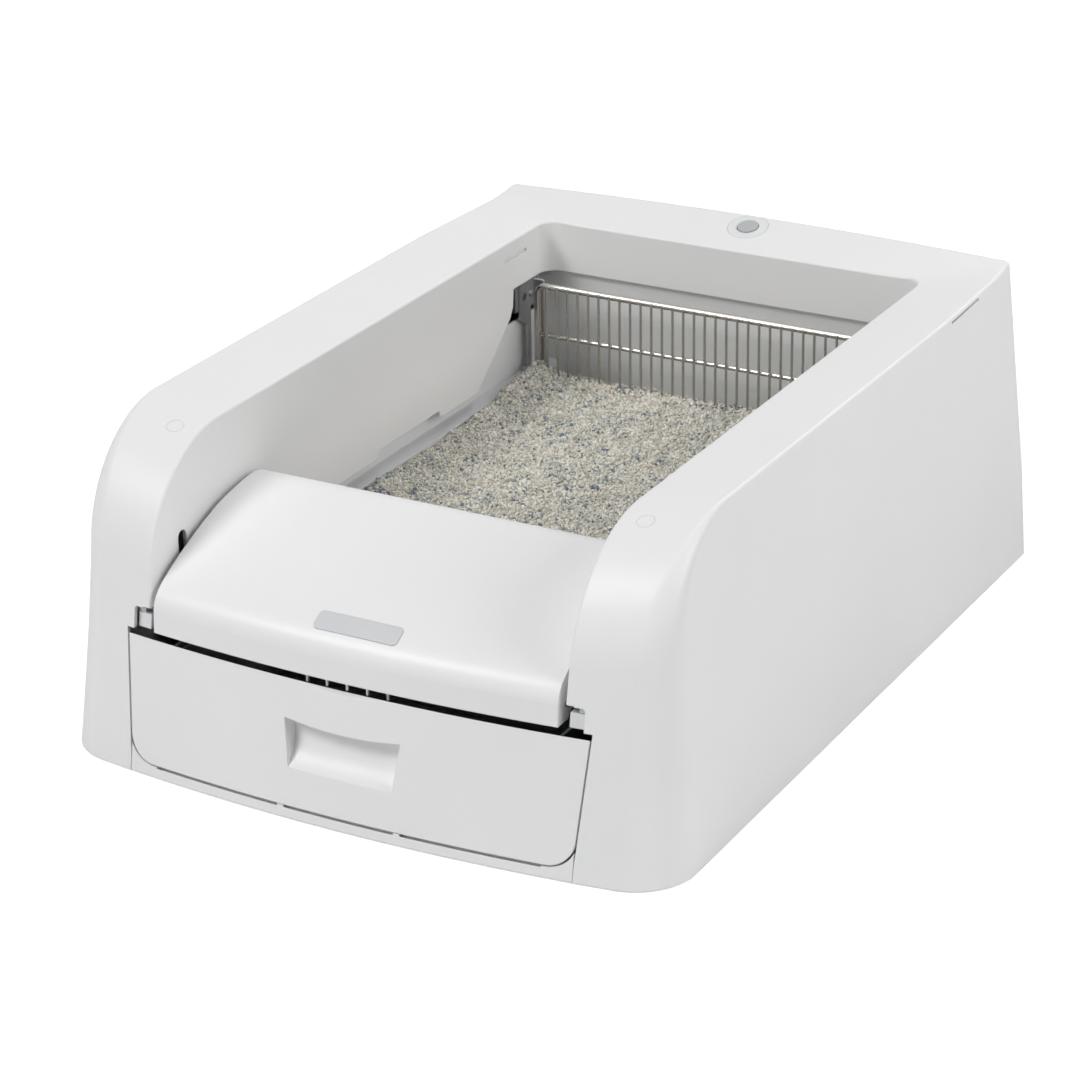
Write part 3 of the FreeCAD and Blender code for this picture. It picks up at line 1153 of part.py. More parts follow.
piece("lid_pins", group("lid_pins", *pins))

# Drawer: bowed front with a finger recess, box behind it, loose bin inside
slab_half = number(size.front_half_top) + 1
slab = bowed_slab("front_slab", slab_half, number(size.front_bottom) - 1,
                  number(size.front_top) + 1, number(size.front_panel), 0)
narrow_at = size.front_half_bottom
outline = plate("front_outline", "XZ", [
    (-narrow_at, size.front_bottom), (narrow_at, size.front_bottom),
    (size.front_half_top + bay_slope, size.front_top + 1),
    (-size.front_half_top - bay_slope, size.front_top + 1),
], size.drawer_front_face + 20, 200)
document.recompute()
low_edges = [Vector(side * number(narrow_at), -half_length, number(size.front_bottom)) for side in (1, -1)]
outline = rounded("front_outline_round", outline, size.front_corner, low_edges)
TOP_SWEEP = 16.0
TOP_REACH = 9.0
top_level = number(size.front_top)
top_fall = math.tan(math.radians(number(size.front_top_slope)))
top_cutter = bow_sweep("front_top_cutter", slab_half, top_level, (
    (-1, top_level + top_fall), (TOP_REACH, top_level - TOP_REACH * top_fall),
    (TOP_REACH, top_level + TOP_REACH), (-1, top_level + TOP_REACH),
), TOP_SWEEP)
panel = cut("front_panel", common("front_blank", slab, outline), top_cutter)

# Dished chamfer in the middle of the drawer front's top edge
scoop_turn = math.radians(number(size.scoop_slope))
scoop_low = number(size.front_top) - number(size.scoop_depth)
scoop_up = Vector(0, -math.sin(scoop_turn), math.cos(scoop_turn))
scoop_along = Vector(0, math.cos(scoop_turn), math.sin(scoop_turn))
scoop_rise = number(size.scoop_depth) * math.cos(scoop_turn)
scoop_radius = (number(size.scoop_half) ** 2 + scoop_rise ** 2) / (2 * scoop_rise)
scoop_centre = Vector(0, front_face(0, scoop_low), scoop_low) + scoop_up * scoop_radius
scoop_long = number(size.scoop_half) * 2
scoop_start = scoop_centre - scoop_along * scoop_long / 2
scoop = shaped("scoop", Part.makeCylinder(scoop_radius, scoop_long, scoop_start, scoop_along))
panel = cut("front_panel_scooped", panel, scoop)


GRIP_REACH = 60.0
GRIP_SLAB_LOW = 20.0
GRIP_SLAB_HIGH = 90.0
GRIP_SLAB_DEEP = 40.0
grip_nose = front_face(0, number(size.grip_bottom))
grip_climb = size.grip_straight - size.grip_bottom
grip_round = (size.grip_depth * size.grip_depth + grip_climb * grip_climb) / (size.grip_depth * 2)
grip_centre = grip_nose + size.grip_depth - grip_round


def grip_form(name, grow, top):
    """The finger recess: a floor that climbs in an arc, then an upright rear wall."""
    floor = rod(name + "_floor", grip_round + grow, (-GRIP_REACH, grip_centre, size.grip_straight),
                GRIP_REACH * 2, "x")
    rear = box(name + "_rear", (-GRIP_REACH, grip_centre, size.grip_straight),
               (GRIP_REACH, grip_nose + size.grip_depth + grow, top + grow))
    front = plate(name + "_front", "XZ", [
        (-size.grip_half_bottom - grow, size.grip_bottom - grow),
        (size.grip_half_bottom + grow, size.grip_bottom - grow),
        (size.grip_half_top + grow, top + grow), (-size.grip_half_top - grow, top + grow),
    ], size.drawer_front_face, half_length)
    return common(name, fuse(name + "_side", floor, rear), front)


grip_high = size.grip_top + size.grip_undercut
behind_face = bowed_slab("behind_face", GRIP_REACH, GRIP_SLAB_LOW, GRIP_SLAB_HIGH, GRIP_SLAB_DEEP, 0)
cup = common("grip_cup", grip_form("grip_outside", size.grip_wall, grip_high), behind_face)

# The recess opens through a lip whose lower edge hangs in an arc
sag = number(size.grip_sag)
lip_radius = (number(size.grip_half_top) ** 2 + sag ** 2) / (2 * sag)
lip_centre = Vector(0, -half_length - BOX_SPARE, number(size.grip_top) - sag + lip_radius)
lip_arc = shaped("lip_arc", Part.makeCylinder(lip_radius, GRIP_REACH, lip_centre, Vector(0, 1, 0)))
grip_mouth = cut("grip_mouth", grip_form("grip_front", 0, size.grip_top), lip_arc)
behind_lip = bowed_slab("behind_lip", GRIP_REACH, GRIP_SLAB_LOW, GRIP_SLAB_HIGH, GRIP_SLAB_DEEP,
                        number(size.grip_lip))
grip_room = common("grip_room", grip_form("grip_inside", 0, grip_high), behind_lip)
bosses = []
for x in (-size.boss_side, size.boss_side):
    for z in (size.boss_low, size.boss_high):
        front = front_face(number(size.boss_side), number(z)) + number(size.front_panel) - 1
        bosses.append(rod("front_boss", size.boss_radius, (x, front, z), size.drawer_front_face - front, "y"))
front_solid = fuse("front_solid", panel, cup, *bosses)
drawer_outside = box("drawer_outside", (-size.drawer_half, size.drawer_front_face, size.drawer_bottom),
                     (size.drawer_half, size.drawer_rear, size.drawer_top))
wall_in = size.drawer_wall
drawer_inside = box("drawer_inside", (-size.drawer_half + wall_in, size.drawer_front_face + wall_in,
                                      size.drawer_bottom + wall_in),
                    (size.drawer_half - wall_in, size.drawer_rear - wall_in, size.drawer_top + 1))
drawer_screws = []
screw_holes = []
for x in (-size.boss_side, size.boss_side):
    for z in (size.boss_low, size.boss_high):
        head_at = size.drawer_front_face + wall_in
        screw_holes.append(rod("drawer_hole", size.screw_shaft, (x, size.drawer_front_face - 6, z), 12, "y"))
        front = size.drawer_front_face - 6
        drawer_screws.append(fuse("drawer_screw",
                                  rod("drawer_screw_head", 3, (x, head_at, z), 0.5, "y"),
                                  rod("drawer_screw_shaft", size.screw_shaft, (x, front, z),
                                      head_at - front, "y")))
piece("drawer_front", cut("drawer_front", front_solid, grip_mouth, grip_room, *screw_holes))
piece("drawer_box", cut("drawer_box", drawer_outside, drawer_inside, *screw_holes))
piece("drawer_screws", group("drawer_screws", *drawer_screws))
bin_in = wall_in + size.bin_gap
bin_bottom = size.drawer_bottom + bin_in
bin_outside = box("bin_outside", (-size.drawer_half + bin_in, size.drawer_front_face + bin_in, bin_bottom),
                  (size.drawer_half - bin_in, size.drawer_rear - bin_in, size.bin_top))
bin_inner = bin_in + size.bin_wall
bin_inside = box("bin_inside", (-size.drawer_half + bin_inner, size.drawer_front_face + bin_inner,
                                bin_bottom + size.bin_wall),
                 (size.drawer_half - bin_inner, size.drawer_rear - bin_inner, size.bin_top + 1))
piece("waste_bin", cut("waste_bin", bin_outside, bin_inside))

document.recompute()
bad = []
for thing in document.Objects:
    if "Invalid" in thing.State or "Error" in thing.State:
        bad.append(thing.Name)
for thing in pieces:
    if thing.Shape.isNull() or not thing.Shape.isValid():
        bad.append(thing.Label)
if bad:
    raise SystemExit("failed: %s" % ", ".join(bad))
os.makedirs("parts", exist_ok=True)
for thing in pieces:
    thing.Shape.exportStep("parts/%s.step" % thing.Label)
    bounds = thing.Shape.optimalBoundingBox(False)
    print("%-20s solids %d volume %.0f  x %.1f %.1f  y %.1f %.1f  z %.1f %.1f" % (
        thing.Label, len(thing.Shape.Solids), thing.Shape.Volume, bounds.XMin, bounds.XMax,
        bounds.YMin, bounds.YMax, bounds.ZMin, bounds.ZMax))
print(len(pieces), "pieces")
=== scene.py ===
import json
import math

import bmesh
import bpy
import numpy as np
from mathutils import Matrix, Vector


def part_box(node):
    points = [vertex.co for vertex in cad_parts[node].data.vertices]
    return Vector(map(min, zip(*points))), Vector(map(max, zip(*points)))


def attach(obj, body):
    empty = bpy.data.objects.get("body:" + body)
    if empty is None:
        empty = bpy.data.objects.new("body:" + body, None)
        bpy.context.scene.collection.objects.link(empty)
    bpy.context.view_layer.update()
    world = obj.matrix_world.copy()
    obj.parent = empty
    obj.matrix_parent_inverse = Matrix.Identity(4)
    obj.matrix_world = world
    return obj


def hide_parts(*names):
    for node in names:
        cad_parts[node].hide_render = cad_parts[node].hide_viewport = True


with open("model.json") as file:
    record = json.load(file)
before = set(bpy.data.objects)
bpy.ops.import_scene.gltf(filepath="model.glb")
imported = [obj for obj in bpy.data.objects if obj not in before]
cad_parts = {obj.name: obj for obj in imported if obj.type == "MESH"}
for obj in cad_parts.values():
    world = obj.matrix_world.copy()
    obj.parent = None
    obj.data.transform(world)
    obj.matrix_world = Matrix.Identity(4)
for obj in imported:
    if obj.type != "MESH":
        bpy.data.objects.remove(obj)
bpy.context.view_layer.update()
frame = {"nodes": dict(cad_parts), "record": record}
nodes = frame["nodes"]
scene = bpy.context.scene


def new_material(name):
    """A material with nodes; returns it with its tree and its Principled shader."""
    material = bpy.data.materials.new(name)
    material.use_nodes = True
    return material, material.node_tree, material.node_tree.nodes["Principled BSDF"]


# Camera, at the photograph's viewing angle

VIEW_AZIMUTH = 29.16
VIEW_ELEVATION = 23.78
VIEW_ROLL = -0.91
CAMERA_PLACE = Vector((1.1097, -2.0262, 1.1037))
CAMERA_LENS = 116.1
SENSOR = 36.0


def make_camera():
    """A camera turned by azimuth, elevation and a small roll about its own line of sight."""
    data = bpy.data.cameras.new("camera")
    data.lens = CAMERA_LENS
    data.sensor_width = SENSOR
    camera = bpy.data.objects.new("camera", data)
    azimuth, elevation = math.radians(VIEW_AZIMUTH), math.radians(VIEW_ELEVATION)
    back = Vector((math.sin(azimuth) * math.cos(elevation), -math.cos(azimuth) * math.cos(elevation),
                   math.sin(elevation)))
    right = Vector((math.cos(azimuth), math.sin(azimuth), 0.0))
    level = Matrix((right, back.cross(right), back)).transposed()
    roll = Matrix.Rotation(math.radians(VIEW_ROLL), 3, back)
    camera.matrix_world = Matrix.Translation(CAMERA_PLACE) @ (roll @ level).to_4x4()
    scene.collection.objects.link(camera)
    scene.camera = camera


# Stage: white floor and backdrop, soft light from above and from all sides

FLOOR_HALF = 6.0
FLOOR_COLOUR = (0.86, 0.865, 0.87, 1.0)
FLOOR_LIFT = 0.5
AMBIENT = 0.03


def make_world():
    """An even pale light that shows as white to the camera and in reflections."""
    world = bpy.data.worlds.new("studio")
    world.use_nodes = True
    scene.world = world
    tree = world.node_tree
    tree.nodes.clear()
    output = tree.nodes.new("ShaderNodeOutputWorld")
    rays = tree.nodes.new("ShaderNodeLightPath")
    seen = tree.nodes.new("ShaderNodeBackground")
    seen.inputs["Strength"].default_value = 1.0
    seen.inputs["Color"].default_value = (1.0, 1.0, 1.0, 1.0)
    light = tree.nodes.new("ShaderNodeBackground")
    light.inputs["Strength"].default_value = AMBIENT
    light.inputs["Color"].default_value = (1.0, 1.0, 1.0, 1.0)
    white = rays.outputs["Is Camera Ray"]
    for ray in ("Is Transmission Ray", "Is Glossy Ray"):
        either = tree.nodes.new("ShaderNodeMath")
        either.operation = "MAXIMUM"
        tree.links.new(white, either.inputs[0])
        tree.links.new(rays.outputs[ray], either.inputs[1])
        white = either.outputs[0]
    mix = tree.nodes.new("ShaderNodeMixShader")
    tree.links.new(white, mix.inputs["Fac"])
    tree.links.new(light.outputs[0], mix.inputs[1])
    tree.links.new(seen.outputs[0], mix.inputs[2])
    tree.links.new(mix.outputs[0], output.inputs["Surface"])


def make_floor():
    """A wide square that takes light and shadow; only camera rays see it lifted towards white."""
    material, tree, shader = new_material("floor_paper")
    shader.inputs["Base Color"].default_value = FLOOR_COLOUR
    shader.inputs["Roughness"].default_value = 0.9
    shader.inputs["Specular IOR Level"].default_value = 0.0
    shader.inputs["Emission Color"].default_value = (1.0, 1.0, 1.0, 1.0)
    rays = tree.nodes.new("ShaderNodeLightPath")
    lift = tree.nodes.new("ShaderNodeMath")
    lift.operation = "MULTIPLY"
    lift.inputs[1].default_value = FLOOR_LIFT
    tree.links.new(rays.outputs["Is Camera Ray"], lift.inputs[0])
    tree.links.new(lift.outputs[0], shader.inputs["Emission Strength"])
    mesh = bpy.data.meshes.new("floor")
    side = FLOOR_HALF
    mesh.from_pydata([(-side, -side, 0), (side, -side, 0), (side, side, 0), (-side, side, 0)], [],
                     [(0, 1, 2, 3)])
    mesh.materials.append(material)
    floor = bpy.data.objects.new("floor", mesh)
    scene.collection.objects.link(floor)


def soft_lamp(name, place, aim, side, power):
    """A square area lamp that points at a spot."""
    data = bpy.data.lights.new(name, "AREA")
    data.shape = "SQUARE"
    data.size = side
    data.energy = power
    lamp = bpy.data.objects.new(name, data)
    lamp.location = place
    lamp.rotation_mode = "QUATERNION"
    lamp.rotation_quaternion = (Vector(aim) - Vector(place)).to_track_quat("-Z", "Y")
    scene.collection.objects.link(lamp)


def make_lights():
    """A key lamp high at the front left, with wide lamps overhead, in front, to the right and behind."""
    middle = (0.0, 0.0, 0.1)
    soft_lamp("key", (-1.9, -2.9, 3.5), middle, 1.6, 112.0)
    soft_lamp("overhead", (0.0, 0.0, 3.0), middle, 2.6, 21.0)
    soft_lamp("front", (-0.6, -5.0, 1.4), middle, 2.4, 31.0)
    soft_lamp("right_side", (3.6, 0.1, 2.0), middle, 2.2, 80.0)
    soft_lamp("rear", (0.0, 3.4, 3.0), middle, 2.4, 41.0)


# Shader node groups, built once and placed in each material with its own values

def new_group(name, inputs, outputs):
    """A shader node group with named sockets; returns the tree with its input and output nodes."""
    tree = bpy.data.node_groups.new(name, "ShaderNodeTree")
    for label, kind in inputs:
        tree.interface.new_socket(name=label, in_out="INPUT", socket_type="NodeSocket" + kind)
    for label, kind in outputs:
        tree.interface.new_socket(name=label, in_out="OUTPUT", socket_type="NodeSocket" + kind)
    return tree, tree.nodes.new("NodeGroupInput"), tree.nodes.new("NodeGroupOutput")


def noise(tree, vector, scale, detail=2.0):
    """A noise texture; scale is a number or a socket."""
    node = tree.nodes.new("ShaderNodeTexNoise")
    node.inputs["Detail"].default_value = detail
    tree.links.new(vector, node.inputs["Vector"])
    if isinstance(scale, (int, float)):
        node.inputs["Scale"].default_value = scale
    else:
        tree.links.new(scale, node.inputs["Scale"])
    return node.outputs["Fac"]


def blend_colours(tree, mask, low, high):
    """Mixes two colours by a mask; the colours are sockets."""
    node = tree.nodes.new("ShaderNodeMix")
    node.data_type = "RGBA"
    tree.links.new(mask, node.inputs["Factor"])
    tree.links.new(low, node.inputs["A"])
    tree.links.new(high, node.inputs["B"])
    return node.outputs["Result"]


def stretch(tree, value, low, high, start=0.3, end=0.7):
    """Maps a mask from start..end to low..high; the limits are numbers or sockets."""
    node = tree.nodes.new("ShaderNodeMapRange")
    node.inputs["From Min"].default_value = start
    node.inputs["From Max"].default_value = end
    tree.links.new(value, node.inputs["Value"])
    for label, amount in (("To Min", low), ("To Max", high)):
        if isinstance(amount, (int, float)):
            node.inputs[label].default_value = amount
        else:
            tree.links.new(amount, node.inputs[label])
    return node.outputs["Result"]


def add_relief(tree, shader, height, depth):
    """Feeds the shader's Normal from a mask; depth is the relief's height in metres."""
    node = tree.nodes.new("ShaderNodeBump")
    node.inputs["Strength"].default_value = 1.0
    node.inputs["Distance"].default_value = depth
    tree.links.new(height, node.inputs["Height"])
    tree.links.new(node.outputs["Normal"], shader.inputs["Normal"])
    return node


def moulded_group():
    """Fine eroded grain of a mould, broad mottling, and the roughness that goes with them."""
    tree, source, result = new_group(
        "moulded_surface",
        [("Vector", "Vector"), ("Grain Scale", "Float"), ("Mottle Scale", "Float"), ("Light", "Color"),
         ("Shade", "Color"), ("Smooth", "Float"), ("Rough", "Float")],
        [("Color", "Color"), ("Roughness", "Float"), ("Height", "Float")])
    grain = noise(tree, source.outputs["Vector"], source.outputs["Grain Scale"], 3.0)
    mottle = noise(tree, source.outputs["Vector"], source.outputs["Mottle Scale"], 4.0)
    mask = stretch(tree, mottle, 0.0, 1.0)
    colour = blend_colours(tree, mask, source.outputs["Light"], source.outputs["Shade"])
    rough = stretch(tree, grain, source.outputs["Smooth"], source.outputs["Rough"])
    tree.links.new(colour, result.inputs["Color"])
    tree.links.new(rough, result.inputs["Roughness"])
    tree.links.new(grain, result.inputs["Height"])
    return tree


def drawn_group():
    """Streaks along one axis, as on drawn wire or brushed sheet."""
    tree, source, result = new_group(
        "drawn_metal",
        [("Vector", "Vector"), ("Along", "Vector"), ("Light", "Color"), ("Shade", "Color"),
         ("Smooth", "Float"), ("Rough", "Float")],
        [("Color", "Color"), ("Roughness", "Float"), ("Height", "Float")])
    squeeze = tree.nodes.new("ShaderNodeVectorMath")
    squeeze.operation = "MULTIPLY"
    tree.links.new(source.outputs["Vector"], squeeze.inputs[0])
    tree.links.new(source.outputs["Along"], squeeze.inputs[1])
    streaks = noise(tree, squeeze.outputs["Vector"], 1.0, 3.0)
    mask = stretch(tree, streaks, 0.0, 1.0)
    colour = blend_colours(tree, mask, source.outputs["Light"], source.outputs["Shade"])
    rough = stretch(tree, streaks, source.outputs["Smooth"], source.outputs["Rough"])
    tree.links.new(colour, result.inputs["Color"])
    tree.links.new(rough, result.inputs["Roughness"])
    tree.links.new(streaks, result.inputs["Height"])
    return tree


MOULDED = moulded_group()
DRAWN = drawn_group()


def colour(red, green, blue):
    """A linear colour from the 0 to 255 values that a screen shows."""
    parts = [value / 255 for value in (red, green, blue)]
    linear = [part / 12.92 if part <= 0.04045 else ((part + 0.055) / 1.055) ** 2.4 for part in parts]
    return (*linear, 1.0)


EDGE_ROUND = 0.0009
EDGE_SAMPLES = 4


def finish_material(name, group, values, bump, metallic=0.0, coat=0.0, specular=0.5):
    """A Principled material whose colour, roughness and bump come from a node group."""
    material, tree, shader = new_material(name)
    shader.inputs["Metallic"].default_value = metallic
    shader.inputs["Coat Weight"].default_value = coat
    shader.inputs["Specular IOR Level"].default_value = specular
    place = tree.nodes.new("ShaderNodeTexCoord")
    node = tree.nodes.new("ShaderNodeGroup")
    node.node_tree = group
    tree.links.new(place.outputs["Object"], node.inputs["Vector"])
    for label, amount in values.items():
        node.inputs[label].default_value = amount
    edge = tree.nodes.new("ShaderNodeBevel")
    edge.samples = EDGE_SAMPLES
    edge.inputs["Radius"].default_value = EDGE_ROUND
    relief = add_relief(tree, shader, node.outputs["Height"], bump)
    tree.links.new(edge.outputs["Normal"], relief.inputs["Normal"])
    tree.links.new(node.outputs["Color"], shader.inputs["Base Color"])
    tree.links.new(node.outputs["Roughness"], shader.inputs["Roughness"])
    return material


def plastic(name, light, shade, smooth=0.36, rough=0.48, grain=900.0, mottle=7.0, bump=0.00004, **more):
    """Moulded plastic in two close tones."""
    values = {"Grain Scale": grain, "Mottle Scale": mottle, "Light": light, "Shade": shade,
              "Smooth": smooth, "Rough": rough}
    return finish_material(name, MOULDED, values, bump, **more)


def metal(name, light, shade, along, smooth=0.2, rough=0.38, bump=0.00001):
    """Drawn or brushed metal; along holds the streaks per metre on each axis."""
    values = {"Along": along, "Light": light, "Shade": shade, "Smooth": smooth, "Rough": rough}
    return finish_material(name, DRAWN, values, bump, metallic=1.0)


ALONG_X = (12.0, 1800.0, 1800.0)
ALONG_Y = (1800.0, 12.0, 1800.0)
ALONG_Z = (1800.0, 1800.0, 12.0)

finishes = {
    "shell_white": plastic("shell_white", colour(233, 233, 233), colour(230, 230, 231)),
    "lid_white": plastic("lid_white", colour(234, 234, 234), colour(231, 231, 232), smooth=0.34, rough=0.44),
    "pan_grey": plastic("pan_grey", colour(224, 225, 226), colour(219, 220, 222)),
    "tray_grey": plastic("tray_grey", colour(228, 229, 229), colour(223, 224, 224), smooth=0.3, rough=0.42),
    "inner_grey": plastic("inner_grey", colour(120, 123, 126), colour(110, 113, 116)),
    # drawer_grey is dark so the drawer box seen in the gap under the lid reads dark: painted shade.
    "drawer_grey": plastic("drawer_grey", colour(96, 98, 101), colour(88, 90, 93)),
    # pin_steel is a darker steel so the pins in their hinge pockets read dark: painted shade.
    "pin_steel": metal("pin_steel", colour(120, 120, 122), colour(100, 100, 102), ALONG_X, 0.3, 0.45),
    "rake_wire": metal("rake_wire", colour(196, 193, 188), colour(168, 165, 160), ALONG_X, 0.16, 0.3),
    "sheet_steel": metal("sheet_steel", colour(205, 206, 207), colour(180, 181, 183), ALONG_Z, 0.26, 0.42),
    "rod_steel": metal("rod_steel", colour(216, 216, 216), colour(198, 198, 199), ALONG_Y, 0.14, 0.24),
    "screw_steel": metal("screw_steel", colour(196, 196, 198), colour(170, 170, 172), ALONG_Z, 0.25, 0.4),
    "foot_rubber": plastic("foot_rubber", colour(52, 52, 53), colour(42, 42, 43), 0.7, 0.85, 500.0, 20.0),
    "belt_rubber": plastic("belt_rubber", colour(38, 38, 39), colour(30, 30, 31), 0.65, 0.8, 700.0, 30.0),
    "gear_plastic": plastic("gear_plastic", colour(238, 236, 230), colour(230, 228, 221), 0.3, 0.4),
    "pulley_plastic": plastic("pulley_plastic", colour(60, 60, 62), colour(50, 50, 52), 0.35, 0.5),
    "bush_brass": metal("bush_brass", colour(214, 178, 104), colour(186, 150, 84), ALONG_X, 0.25, 0.42),
    "motor_metal": metal("motor_metal", colour(186, 188, 192), colour(166, 168, 173), ALONG_X, 0.3, 0.45),
    "board_green": plastic("board_green", colour(38, 98, 58), colour(30, 84, 48), 0.25, 0.4),
    "black_plastic": plastic("black_plastic", colour(44, 44, 46), colour(34, 34, 36), 0.4, 0.55),
    "badge_grey": plastic("badge_grey", colour(206, 208, 210), colour(201, 203, 206), 0.3, 0.4),
    "bezel_grey": plastic("bezel_grey", colour(226, 228, 228), colour(221, 223, 224), 0.3, 0.4),
    "button_grey": plastic("button_grey", colour(180, 183, 185), colour(173, 176, 178), 0.45, 0.6),
    "spring_steel": metal("spring_steel", colour(190, 190, 190), colour(160, 160, 160), ALONG_Z),
}


# The drawer box and the lid pins take darker finishes than their slots: painted shade in the gap under the
# lid and in the hinge pockets.
SHADE_DARKENED_FINISHES = {"drawer_box": "drawer_grey", "lid_pins": "pin_steel"}


def dress_frame():
    """Gives every node of the frame the material of its slot, or, for the drawer box and the lid pins, a
    darker one that paints shade.
    """
    for row in frame["record"]["subparts"]:
        finish = finishes.get(SHADE_DARKENED_FINISHES.get(row["node"], row["material_slot"]))
        if finish is None:
            continue
        for slot in nodes[row["node"]].material_slots:
            slot.material = finish


# Meshes worked out on grids

def add_object(name, mesh, material, body, smooth=True):
    """Puts a finished mesh in the scene, with its material and on a body."""
    mesh.materials.append(material)
    mesh.polygons.foreach_set("use_smooth", [smooth] * len(mesh.polygons))
    thing = bpy.data.objects.new(name, mesh)
    scene.collection.objects.link(thing)
    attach(thing, body)
    return thing


def mesh_from_arrays(name, points, faces):
    """A mesh from an array of points and an array of faces with equal numbers of corners."""
    mesh = bpy.data.meshes.new(name)
    count, corners = faces.shape
    mesh.vertices.add(len(points))
    mesh.vertices.foreach_set("co", np.asarray(points, dtype=np.float32).ravel())
    mesh.loops.add(count * corners)
    mesh.loops.foreach_set("vertex_index", faces.astype(np.int32).ravel())
    mesh.polygons.add(count)
    mesh.polygons.foreach_set("loop_start", np.arange(0, count * corners, corners, dtype=np.int32))
    mesh.update(calc_edges=True)
    return mesh


LATTICE = 128
LATTICE_START = 40.0


def smooth_noise(x, y, pitch, seed):
    """Random heights on a square lattice, joined by smooth steps between its corners."""
    lattice = np.random.default_rng(seed).uniform(-1.0, 1.0, (LATTICE, LATTICE))
    column, row = x / pitch + LATTICE_START, y / pitch + LATTICE_START
    left, low = np.floor(column).astype(int), np.floor(row).astype(int)
    u, v = column - left, row - low
    u, v = u * u * (3 - 2 * u), v * v * (3 - 2 * v)
    left, low = left % (LATTICE - 1), low % (LATTICE - 1)
    near = lattice[low, left] * (1 - u) + lattice[low, left + 1] * u
    far = lattice[low + 1, left] * (1 - u) + lattice[low + 1, left + 1] * u
    return near * (1 - v) + far * v


def smooth_step(value, start, end):
    """Zero before start, one after end, and a smooth rise between them."""
    share = np.clip((value - start) / (end - start), 0.0, 1.0)
    return share * share * (3 - 2 * share)


bed_low, bed_high = (Vector(corner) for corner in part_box("litter_bed"))
LITTER_HALF = 0.1535
LITTER_FRONT = bed_low.y - 0.001
LITTER_REAR = bed_high.y
LITTER_FLOOR = bed_low.z + 0.0005
LITTER_FRONT_TOP = 0.0975
LITTER_REAR_TOP = 0.1085
LITTER_SIDE_LEAN = 0.0055
LITTER_FRONT_LEAN = 0.022


# A mound is a height, its middle on x and y, and its widths on x and y
HEAP_REAR_LEFT = (0.0105, -0.157, 0.205, 0.022, 0.045)
HEAP_AT_RAKE = (0.0055, 0.158, 0.238, 0.012, 0.016)

# A wave is a height, a pitch and a seed
BROAD_WAVE = (0.0016, 0.045, 3)
SHORT_WAVE = (0.0011, 0.018, 4)
RIPPLE = (0.0006, 0.007, 5)

BANK_HEIGHT = 0.006
BANK_INNER, BANK_OUTER = 0.125, 0.152
BANK_END, BANK_FADE = 0.05, 0.06
SINK_DEPTH = 0.019
SINK_START, SINK_END = 0.239, 0.268


def mound(x, y, height, x_middle, y_middle, x_width, y_width):
    """A smooth bell whose height falls off with the square of the distance from its middle."""
    return height * np.exp(-((x - x_middle) / x_width) ** 2 - ((y - y_middle) / y_width) ** 2)


def wave(x, y, height, pitch, seed):
    """Smooth random waves of a height and a pitch."""
    return height * smooth_noise(x, y, pitch, seed)


def litter_height(x, y):
    """The surface: an even rise to the rear, heaps at the rear, a bank at the left, waves, and a
    sink behind the rake."""
    share = (y - LITTER_FRONT) / (LITTER_REAR - LITTER_FRONT)
    level = LITTER_FRONT_TOP + (LITTER_REAR_TOP - LITTER_FRONT_TOP) * share
    corner = mound(x, y, *HEAP_REAR_LEFT)
    bank = BANK_HEIGHT * smooth_step(-x, BANK_INNER, BANK_OUTER) * smooth_step(BANK_END - y, 0.0, BANK_FADE)
    foot = mound(np.abs(x), y, *HEAP_AT_RAKE)
    waves = wave(x, y, *BROAD_WAVE) + wave(x, y, *SHORT_WAVE)
    ripples = wave(x, y, *RIPPLE)
    behind = SINK_DEPTH * smooth_step(y, SINK_START, SINK_END)
    return level + corner + bank + foot + waves + ripples - behind


def litter_surface(material):
    """A closed body: rows from front to rear, each a loop over the top and back under the floor."""
    across, along = 300, 400
    x_top = np.linspace(-LITTER_HALF, LITTER_HALF, across)
    y_row = np.linspace(LITTER_FRONT, LITTER_REAR, along)
    x, y = np.meshgrid(x_top, y_row)
    top = np.stack([x, y, litter_height(x, y)], axis=-1)
    floor_half = LITTER_HALF - LITTER_SIDE_LEAN
    bottom_x = x[:, ::-1] * floor_half / LITTER_HALF
    bottom_y = np.maximum(y, LITTER_FRONT + LITTER_FRONT_LEAN)
    bottom = np.stack([bottom_x, bottom_y, np.full_like(x, LITTER_FLOOR)], axis=-1)[:, :: across - 1]
    loop = np.concatenate([top, bottom], axis=1)
    rows, columns = loop.shape[:2]
    index = np.arange(rows * columns).reshape(rows, columns)
    following = np.roll(index, -1, axis=1)
    faces = np.stack([index[:-1], following[:-1], following[1:], index[1:]], axis=-1).reshape(-1, 4)
    mesh = mesh_from_arrays("litter_surface", loop.reshape(-1, 3), faces)
    thing = add_object("litter_surface", mesh, material, "base")
    close_ends(mesh, (index[0], index[-1]))
    return thing


def close_ends(mesh, loops):
    """Closes each loop of points with one face, and turns all faces outwards."""
    work = bmesh.new()
    work.from_mesh(mesh)
    work.verts.ensure_lookup_table()
    for loop in loops:
        work.faces.new([work.verts[int(spot)] for spot in loop])
    bmesh.ops.recalc_face_normals(work, faces=work.faces)
    work.to_mesh(mesh)
    work.free()


CORNERS = 12


